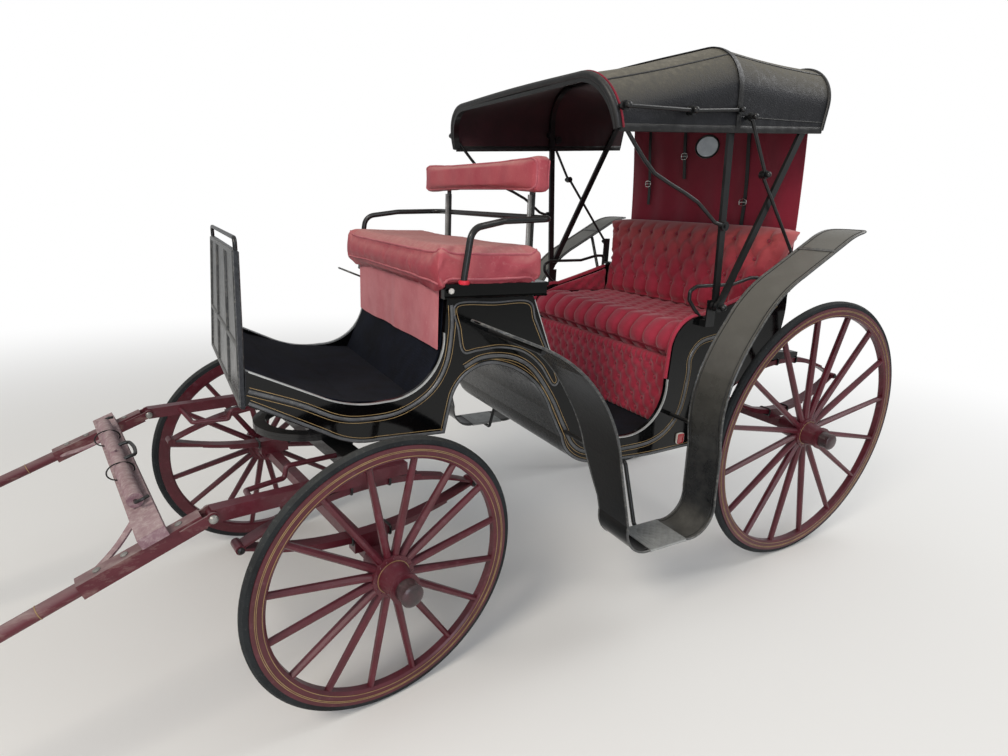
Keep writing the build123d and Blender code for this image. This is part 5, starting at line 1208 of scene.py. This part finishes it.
# Cross section of the strip: rounded on its outer face, its foot thin
stripAcross = [(0.0018, -0.005), (0.0030, 0.0), (0.0018, 0.0038), (-0.0012, 0.0038), (-0.0024, -0.005)]
edgeParts = [carried(onSide(line, -0.003), stripAcross, sideOut) for line in (frontEdge, sillEdge)]
makePiece("steppingEdgeStrips", bothSides(edgeParts), wornEdge, rides="carriage_body")
seatRoll = {"radius": 0.0095, "back": 0.002, "in": 0.0165, "up": 0.0015}
seatEdge = arcLine((0.352, 1.178), [(0.450, 1.148, 0.640, 1.094), (0.738, 1.068, 0.786, 0.985), (0.792, 0.862)])
rollLine = np.stack([seatEdge[:, 0] - seatRoll["back"], sideFace(seatEdge[:, 0]) - seatRoll["in"],
                     seatEdge[:, 1] + seatRoll["up"]], -1)
makePiece("seatSideRoll", bothSides([carried(rollLine, roundProfile(seatRoll["radius"], 12), sideOut)]), roseCloth,
          rides="carriage_body", sharp=60)
print("body lined")

# Rear reflectors, a red lens in a white rim, low on each side in front of the rear mudguard.
# A row is (share of the outline, distance out); a pole closes each end.
reflector = {"at": (0.696, 0.5005, 0.615), "half": (0.016, 0.020), "rimOver": (1.12, 1.09),
             "rimRows": ((1.0, 0.0), (1.0, 0.006), (0.9, 0.0070)), "rimPoles": (-0.001, 0.0075),
             "lensRows": ((1.0, 0.0070), (1.0, 0.0098), (0.7, 0.0118)), "lensPoles": (0.0070, 0.0125)}


def stacked(loop, rows, poles):
    # Closed shape of one outline (x, z) repeated row by row: share * outline + distance * outward.
    flat = np.column_stack([loop[:, 0], np.zeros(len(loop)), loop[:, 1]])
    rows = np.array(rows)
    rings = flat * rows[:, None, :1] + rows[:, None, 1:] * np.array(sideOut)
    ends = np.array(poles)[:, None] * np.array(sideOut)
    points = np.vstack([rings.reshape(-1, 3), ends]) + np.array(reflector["at"])
    return points, cappedFaces(len(rows), len(loop))


tall, wide = reflector["half"][1], reflector["half"][0]
lensLoop = boxLoop((-wide, -tall), (wide, tall), 6, 40)
rimPart = stacked(lensLoop * reflector["rimOver"], reflector["rimRows"], reflector["rimPoles"])
lensPart = stacked(lensLoop, reflector["lensRows"], reflector["lensPoles"])
makePiece("reflectorRims", bothSides([rimPart]), whiteEnamel, rides="carriage_body")
makePiece("reflectorLenses", bothSides([lensPart]), redLens, rides="carriage_body")

# Mudguards: a wired edge all round, a fine raised line inside it, and a strap across the rear ones
rearWing = arcLine((0.8697, 0.347), [(0.776, 0.374, 0.749, 0.465), (0.754, 0.650), (0.768, 0.790, 0.743, 0.920),
                                     (0.702, 1.008, 0.648, 1.092), (0.560, 1.198, 0.460, 1.266), (0.344, 1.331),
                                     (0.250, 1.384), (0.172, 1.418, 0.0935, 1.427)])
frontWing = arcLine((1.040, 0.347), [(1.116, 0.370, 1.151, 0.460), (1.208, 0.692), (1.262, 0.851, 1.373, 0.996),
                                     (1.449, 1.053, 1.534, 1.096), (1.698, 1.162)])
frontPlan = arcLine((1.030, 0.600), [(1.165, 0.600), (1.215, 0.552, 1.270, 0.528), (1.400, 0.545, 1.520, 0.580),
                                     (1.622, 0.600)])
wing = {"inner": 0.600, "outer": 0.755, "rearTip": 0.170, "frontTip": 1.622, "wire": 0.0042, "wireIn": 0.002,
        "line": 0.0020, "lineIn": 0.014, "lineUp": 0.0022, "up": (0.1, 0.2, 1.0), "strap": (0.014, 0.0024),
        "strapZ": 1.352, "strapUp": 0.002}


def wingEdges(line, inset, rear, out):
    # Loop round a mudguard, inset from its edge: up the inner edge, round the half circle tip, down the outer edge.
    x = line[:, 0]
    centre, half = (wing["outer"] + wing["inner"]) / 2, (wing["outer"] - wing["inner"]) / 2
    radius = half - inset
    past = np.clip((wing["rearTip"] - x) if rear else (x - wing["frontTip"]), 0, None)
    kept = past < radius * 0.998
    reach = np.sqrt(np.clip(radius ** 2 - past ** 2, 0, None))
    inner = (wing["inner"] if rear else np.interp(x, frontPlan[:, 0], frontPlan[:, 1])) + inset
    inner = np.where(past > 0, centre - reach, inner)
    outer = np.where(past > 0, centre + reach, wing["outer"] - inset)
    place = beside(line, out if rear else -out)
    first = np.stack([place[:, 0], inner, place[:, 1]], -1)[kept]
    last = np.stack([place[:, 0], outer, place[:, 1]], -1)[kept]
    return np.vstack([first, last[::-1]])


wingWires, wingLines = [], []
for line, rear in ((rearWing, True), (frontWing, False)):
    wire = smoothLine(wingEdges(line, wing["wireIn"], rear, 0.0), 420)
    wingWires.append(carried(wire, roundProfile(wing["wire"], 8), wing["up"]))
    fine = smoothLine(wingEdges(line, wing["lineIn"], rear, wing["lineUp"]), 380)
    wingLines.append(carried(fine, roundProfile(wing["line"], 6), wing["up"]))
makePiece("wingWiredEdges", bothSides(wingWires), wornWire, rides="carriage_body")
makePiece("wingRaisedLines", bothSides(wingLines), boundLeather, rides="carriage_body")
near = np.argmin(np.abs(rearWing[:, 1] - wing["strapZ"]))
strapAlong = rearWing[near + 1] - rearWing[near]
strapAlong /= np.linalg.norm(strapAlong)
strapUp = np.array((strapAlong[1], 0, -strapAlong[0]))
strapY = np.linspace(wing["inner"] + 0.001, wing["outer"] - 0.001, 12)
strapLine = np.stack([np.full(12, rearWing[near, 0]), strapY, np.full(12, rearWing[near, 1])], -1)
strapPart = carried(strapLine + strapUp * wing["strapUp"], stripProfile(*wing["strap"]), strapUp)
makePiece("wingCrossStraps", bothSides([strapPart]), wornWire, rides="carriage_body")

# Step treads: a plate cut with crossed grooves, and two long grooves at its front end
tread = {"start": (0.8712, 0.6012), "size": (0.1676, 0.1526), "z": 0.3497, "grid": (58, 54), "pitch": 0.030,
         "high": 0.0016, "steep": 2.4, "border": 0.006, "borderHigh": 0.0014, "plainFrom": 1.005,
         "grooves": (1.014, 1.027), "grooveHalf": 0.0022, "thick": 0.0009}
u, v = np.meshgrid(*(np.linspace(0, 1, count) for count in tread["grid"]), indexing="ij")
treadX, treadY = tread["start"][0] + u * tread["size"][0], tread["start"][1] + v * tread["size"][1]
diamond = np.sin(math.pi * (treadX + treadY) / tread["pitch"]) * np.sin(math.pi * (treadX - treadY) / tread["pitch"])
raised = np.clip(np.abs(diamond) * tread["steep"], 0, 1)
grooved = 1 - sum(np.exp(-((treadX - groove) / tread["grooveHalf"]) ** 2) for groove in tread["grooves"])
raised = np.where(treadX > tread["plainFrom"], grooved, raised) * tread["high"]
border = np.minimum(np.minimum(u, 1 - u) * tread["size"][0], np.minimum(v, 1 - v) * tread["size"][1])
raised = np.where(border < tread["border"], tread["borderHigh"], raised)
treadGrid = np.stack([treadX, treadY, tread["z"] + raised], -1)
treadPoints, treadFaces, _ = shell(treadGrid, -tread["thick"], np.broadcast_to((0, 0, 1.0), treadGrid.shape))
makePiece("stepTreadPattern", bothSides([(treadPoints, treadFaces)]), castTread, rides="carriage_body",
          sharp=50)
print("mudguards and steps trimmed")


# Wheels: gold rings on the felloe, rivets on the hub flange, a black cap over the axle nut
def circle(radius, height, count=96):
    # Circle (radius cos, radius sin) at a height.
    turn = np.arange(count) * 2 * math.pi / count
    return np.stack([radius * np.cos(turn), radius * np.sin(turn), np.full(count, height)], -1)


def inWheel(part, side, faceY, centreZ, camber, fore):
    # From the wheel's own frame, its outer face up, to its place on the axle: a turn by 90 degrees and the camber.
    a = math.radians(-side * (90 + camber))
    x, y, z = part[0].T
    points = np.stack([x, y * math.cos(a) - z * math.sin(a) + side * faceY,
                       y * math.sin(a) + z * math.cos(a) + centreZ], -1)
    return turnedFore((points, part[1])) if fore else (points, part[1])


# Heights are from the hub's root; the cap's profile is from the hub's outer end, then from the cap's own
wheelTrim = {"felloeIn": (0.0125, 0.0165, 0.032), "felloeUp": 0.0002, "felloeLine": (0.0016, 0.0007),
             "hubLines": ((0.0512, 0.0195), (0.0433, 0.050)), "hubLine": 0.0011, "rivetsAt": (0.0585, 0.0182, 16),
             "rivet": (0.0042, 0.0034, 10), "bandRadius": 0.0445, "bandIn": 0.006,
             "band": ((0.0022, -0.006), (0.0022, 0.006), (-0.002, 0.006), (-0.002, -0.006)),
             "hubLength": 0.090, "capLength": 0.136,
             "capFoot": ((0, -0.001), (0.0338, -0.001), (0.0342, 0.006), (0.0330, 0.010)),
             "capHead": ((0.0322, -0.014), (0.0345, -0.012), (0.0345, -0.006), (0.0300, -0.0015), (0.0240, 0.0012),
                         (0.0120, 0.0022), (0, 0.0024))}
# Each wheel: name, body, side, its face's distance from the middle, rim radius, camber in degrees, on the front axle
wheelTable = (("RearLeft", "rear_left_wheel", 1, 0.600, 0.560, 2.2, False),
              ("RearRight", "rear_right_wheel", -1, 0.600, 0.560, 2.2, False),
              ("FrontLeft", "front_left_wheel", 1, 0.618, 0.407, 1.0, True),
              ("FrontRight", "front_right_wheel", -1, 0.618, 0.407, 1.0, True))
upright = (0, 0, 1.0)
for label, body, side, faceY, rimRadius, camber, fore in wheelTable:
    lean = math.radians(camber)
    centreZ = (rimRadius + 0.015) * math.cos(lean) - 0.015
    root = -0.017 - (rimRadius - 0.042) * math.tan(lean)
    hubEnd, capEnd = root + wheelTrim["hubLength"], root + wheelTrim["capLength"]
    place = (side, faceY, centreZ, camber, fore)
    rings = [carried(circle(rimRadius - inset, wheelTrim["felloeUp"], 240), stripProfile(*wheelTrim["felloeLine"]),
                     upright, closed=True) for inset in wheelTrim["felloeIn"]]
    rings += [carried(circle(radius, root + height, 48), roundProfile(wheelTrim["hubLine"], 6), upright, closed=True)
              for radius, height in wheelTrim["hubLines"]]
    radius, height, count = wheelTrim["rivetsAt"]
    rivets = domes(circle(radius, root + height, count), (0, 0, 1), *wheelTrim["rivet"])
    band = carried(circle(wheelTrim["bandRadius"], hubEnd - wheelTrim["bandIn"], 64), wheelTrim["band"], upright,
                   closed=True)
    capProfile = np.vstack([np.array(wheelTrim["capFoot"]) + (0, hubEnd), np.array(wheelTrim["capHead"]) + (0, capEnd)])
    cap = spun(capProfile, (0, 0, 0), (0, 0, 1), 40)
    makePiece("goldRings" + label, inWheel(joinParts(rings), *place), goldLine, rides=body)
    makePiece("hubRivets" + label, inWheel(joinParts([rivets, band]), *place), wornCrimson, rides=body)
    makePiece("hubCap" + label, inWheel(cap, *place), capIron, rides=body, sharp=30)
print("wheels trimmed")

# Hood irons: turned knobs on the pin ends, each by its place and radius
knobs = {"hood_front": ((1.190, 0.605, 1.757, 0.0105),),
         "hood_main": ((0.650, 0.605, 1.780, 0.0095), (0.695, 0.5885, 1.798, 0.0085)),
         "carriage_body": ((0.280, 0.5905, 1.300, 0.009), (0.645, 0.5745, 1.140, 0.0135)),
         "prop_upper_link": ((0.540, 0.6005, 1.604, 0.0105),),
         "top_iron_front_link": ((0.918, 0.6005, 1.772, 0.0105),)}
for body, places in knobs.items():
    parts = []
    for x, y, z, radius in places:
        neck = np.array([(0, -0.9), (0.62, -0.9), (0.55, -0.55)]) * radius
        profile = np.vstack([neck, ballProfile(radius, 11)[3:]])
        parts.append(spun(profile, (x, y + radius * 0.6, z), sideOut, 20))
    makePiece("knobs_" + body, bothSides(parts), paintedIron, rides=body)

# Coachman's rail: a loose red ring round each foot, pale covers on the pad's posts, a white stud on the plinth
railTrim = {"ringAt": (1.6485, 0.501, 1.243), "ring": 0.0135, "cord": 0.0042, "cordSquash": (0.8, 1.5),
            "postAt": (1.326, 0.327), "postZ": (1.232, 1.500), "postHalf": (0.0042, 0.0136),
            "studAt": (1.664, 0.4475, 1.211),
            "stud": ((0, -0.001), (0.009, -0.001), (0.009, 0.003), (0.0065, 0.0055), (0, 0.0065))}
ringPart = carried(np.array(railTrim["ringAt"]) + circle(railTrim["ring"], 0.0, 32),
                   roundProfile(railTrim["cord"], 8) * railTrim["cordSquash"], upright, closed=True)
makePiece("railFootRings", bothSides([ringPart]), redRubber, rides="carriage_body")
postHalf = np.array(railTrim["postHalf"])
postParts = [carried(np.stack([np.full(20, railTrim["postAt"][0]), np.full(20, side * railTrim["postAt"][1]),
                               np.linspace(*railTrim["postZ"], 20)], -1),
                     boxLoop(-postHalf, postHalf, 5, 16), (1.0, 0, 0)) for side in (1, -1)]
makePiece("padPostCovers", joinParts(postParts), dullPlatedIron, rides="carriage_body")
stud = spun(railTrim["stud"], railTrim["studAt"], sideOut, 24)
makePiece("plinthStuds", bothSides([stud]), whiteEnamel, rides="carriage_body")

# Dash: iron frame and ribs stitched over with leather, on both faces
dash = {"foot": (2.249, 0.905), "lean": (-0.04842, 0.99883), "faces": (0.0105, -0.0005), "halfFoot": 0.411,
        "halfHead": 0.322, "tall": 0.4135, "uprights": (-0.965, -0.36, 0.36, 0.965), "span": (0.004, 0.409),
        "bars": (0.006, 0.160, 0.405), "barShare": 0.965, "rib": (0.014, 0.0042)}


def dashPoint(y, h, out):
    # Place on the leaning dash: foot + h along its slope + out along its normal.
    dx, dz = dash["lean"]
    return np.stack([dash["foot"][0] + h * dx + out * dz, y, dash["foot"][1] + h * dz - out * dx], -1)


def dashHalf(h):
    # Half width of the dash at a height: it narrows evenly to its head.
    return dash["halfFoot"] + (dash["halfHead"] - dash["halfFoot"]) * h / dash["tall"]


dashParts = []
up = np.linspace(*dash["span"], 40)
for out in dash["faces"]:
    normal = np.array((dash["lean"][1], 0, -dash["lean"][0])) * (1 if out > 0 else -1)
    paths = [(share * dashHalf(up), up) for share in dash["uprights"]]
    for h in dash["bars"]:
        half = dashHalf(h) * dash["barShare"]
        paths.append((np.linspace(-half, half, 40), np.full(40, h)))
    dashParts += [carried(dashPoint(y, h, np.full(40, out)), halfRound(*dash["rib"]), normal) for y, h in paths]
makePiece("dashRibs", joinParts(dashParts), wornWire, rides="carriage_body")
print("dash and rails trimmed")

# Springs: round clips about the leaves beside the axle, and bolts through the eyes
springTrim = {"clipX": (-0.062, 0.062), "clipHalf": 0.0265, "thinSide": 0.0125, "thickSide": 0.0165, "clipRod": 0.0042,
              "eyeX": 0.378, "eyeOut": 0.026,
              "bolt": ((0, -0.002), (0.0095, -0.002), (0.0095, 0.005), (0.0060, 0.0075), (0, 0.0085))}
# Each pair: name, body, on the front axle, distance from the middle, the two stacks' heights and the eyes' height
springTable = (("Rear", "carriage_body", False, 0.400, 0.611, 0.851, 0.740),
               ("Front", "front_carriage", True, 0.450, 0.473, 0.644, 0.552))


def clipLoop(x, y, low, high):
    # A rod bent round the leaves, a rounded box across the spring.
    loop = boxLoop((y - springTrim["clipHalf"], low), (y + springTrim["clipHalf"], high), 5, 36)
    return carried(np.column_stack([np.full(36, x), loop]), roundProfile(springTrim["clipRod"], 8), (1.0, 0, 0),
                   closed=True)


for label, body, fore, y, low, high, eyeZ in springTable:
    thin, thick = springTrim["thinSide"], springTrim["thickSide"]
    clips, bolts = [], []
    for x in springTrim["clipX"]:
        for side in (1, -1):
            clips.append(clipLoop(x, side * y, low - thin, low + thick))
            clips.append(clipLoop(x, side * y, high - thick, high + thin))
    for x in (-springTrim["eyeX"], springTrim["eyeX"]):
        for side in (1, -1):
            bolts.append(spun(springTrim["bolt"], (x, side * (y + springTrim["eyeOut"]), eyeZ), (0, side, 0), 12))
    for name, parts in (("springClips", clips), ("springBolts", bolts)):
        part = turnedFore(joinParts(parts)) if fore else joinParts(parts)
        makePiece(name + label, part, paintedIron, rides=body)

# Shafts: their own frame lies along the sloping shaft from its hinge on the front carriage
shaft = {"slope": 20.1, "hinge": (0.440, 0.6715), "y": 0.462, "bandsX": (0.395, 0.520, 0.640), "bandRadius": 0.0172,
         "band": 0.0011, "boltsX": (0.072, 0.200, 0.262), "boltZ": 0.020, "hingeBoltOut": 0.0305,
         "bolt": ((0, -0.001), (0.0085, -0.001), (0.0085, 0.003), (0.0050, 0.0048), (0, 0.0052)),
         "hingeBolt": ((0, -0.001), (0.0115, -0.001), (0.0115, 0.005), (0.0080, 0.0090), (0, 0.0105)),
         "stay": ((0.150, 0.330, 0.028), (0.215, 0.385, 0.008), (0.290, 0.440, 0.0)), "stayHalf": (0.010, 0.0025)}


def inShafts(part):
    # From the shafts' frame: a turn down by the slope about the hinge, then into the steered front carriage.
    c, s = math.cos(math.radians(shaft["slope"])), math.sin(math.radians(shaft["slope"]))
    x, y, z = part[0].T
    points = np.stack([x * c + z * s + shaft["hinge"][0], y, -x * s + z * c + shaft["hinge"][1]], -1)
    return turnedFore((points, part[1]))


bands, bolts, stays = [], [], []
wide, tall = shaft["stayHalf"]
stayAcross = np.array([(wide, -tall), (wide, tall), (-wide, tall), (-wide, -tall)])
for side in (1, -1):
    for x in shaft["bandsX"]:
        loop = circle(shaft["bandRadius"], 0.0, 28)[:, [2, 0, 1]] + (x, side * shaft["y"], 0)
        bands.append(carried(loop, roundProfile(shaft["band"], 6), (1.0, 0, 0), closed=True))
    for x in shaft["boltsX"]:
        bolts.append(spun(shaft["bolt"], (x, side * shaft["y"], shaft["boltZ"]), (0, 0, 1), 14))
    for out in (1, -1):
        at = (0.0, side * shaft["y"] + out * shaft["hingeBoltOut"], 0.0)
        bolts.append(spun(shaft["hingeBolt"], at, (0, out, 0), 16))
    stay = np.array(shaft["stay"]) * (1, side, 1)
    stays.append(carried(smoothLine(stay, 24), stayAcross, upright))
makePiece("shaftGoldBands", inShafts(joinParts(bands)), goldLine, rides="shaft_pair")
makePiece("shaftBolts", inShafts(joinParts(bolts)), dullPlatedIron, rides="shaft_pair")

# Two thin hoops hang on the swingletree, a bent iron loop stands at its middle, and a hook closes each end
swingletree = {"z": 0.072, "hoopsY": (-0.20, 0.10), "hoopX": 0.136, "hoopHalf": (0.033, 0.0265), "hoopDrop": 0.003,
               "hoopTwist": (0.008, 0.006), "hoop": 0.0021, "loopRod": 0.0052, "hookRod": 0.0048,
               "loop": ((0.114, 0.06, 0.010), (0.099, 0.06, 0.010), (0.085, 0.052, 0.006), (0.080, 0.0, 0.004),
                        (0.085, -0.052, 0.006), (0.099, -0.06, 0.010), (0.114, -0.06, 0.010)),
               "hook": ((0.130, 0.326, 0.0), (0.130, 0.338, 0.0), (0.128, 0.350, 0.004), (0.112, 0.356, 0.006),
                        (0.098, 0.350, 0.004))}
irons = []
cosine, sine = circle(1.0, 0.0, 40)[:, :2].T
for y in swingletree["hoopsY"]:
    (wide, tall), (twistX, twistY) = swingletree["hoopHalf"], swingletree["hoopTwist"]
    hoop = np.stack([swingletree["hoopX"] + wide * cosine + twistX * sine, y + twistY * cosine,
                     swingletree["z"] - swingletree["hoopDrop"] + tall * sine], -1)
    irons.append(carried(hoop, roundProfile(swingletree["hoop"], 6), sideOut, closed=True))
loopLine = smoothLine(np.array(swingletree["loop"]) + (0, 0, swingletree["z"]), 60)
irons.append(carried(loopLine, roundProfile(swingletree["loopRod"], 10), upright))
for side in (1, -1):
    hookLine = smoothLine(np.array(swingletree["hook"]) * (1, side, 1) + (0, 0, swingletree["z"]), 30)
    irons.append(carried(hookLine, roundProfile(swingletree["hookRod"], 8), upright))
makePiece("swingletreeIrons", inShafts(joinParts(irons)), paintedIron, rides="swingletree_bar")
makePiece("crossbarStays", inShafts(joinParts(stays)), paleAsh, rides="shaft_pair")
print("springs and shafts trimmed")
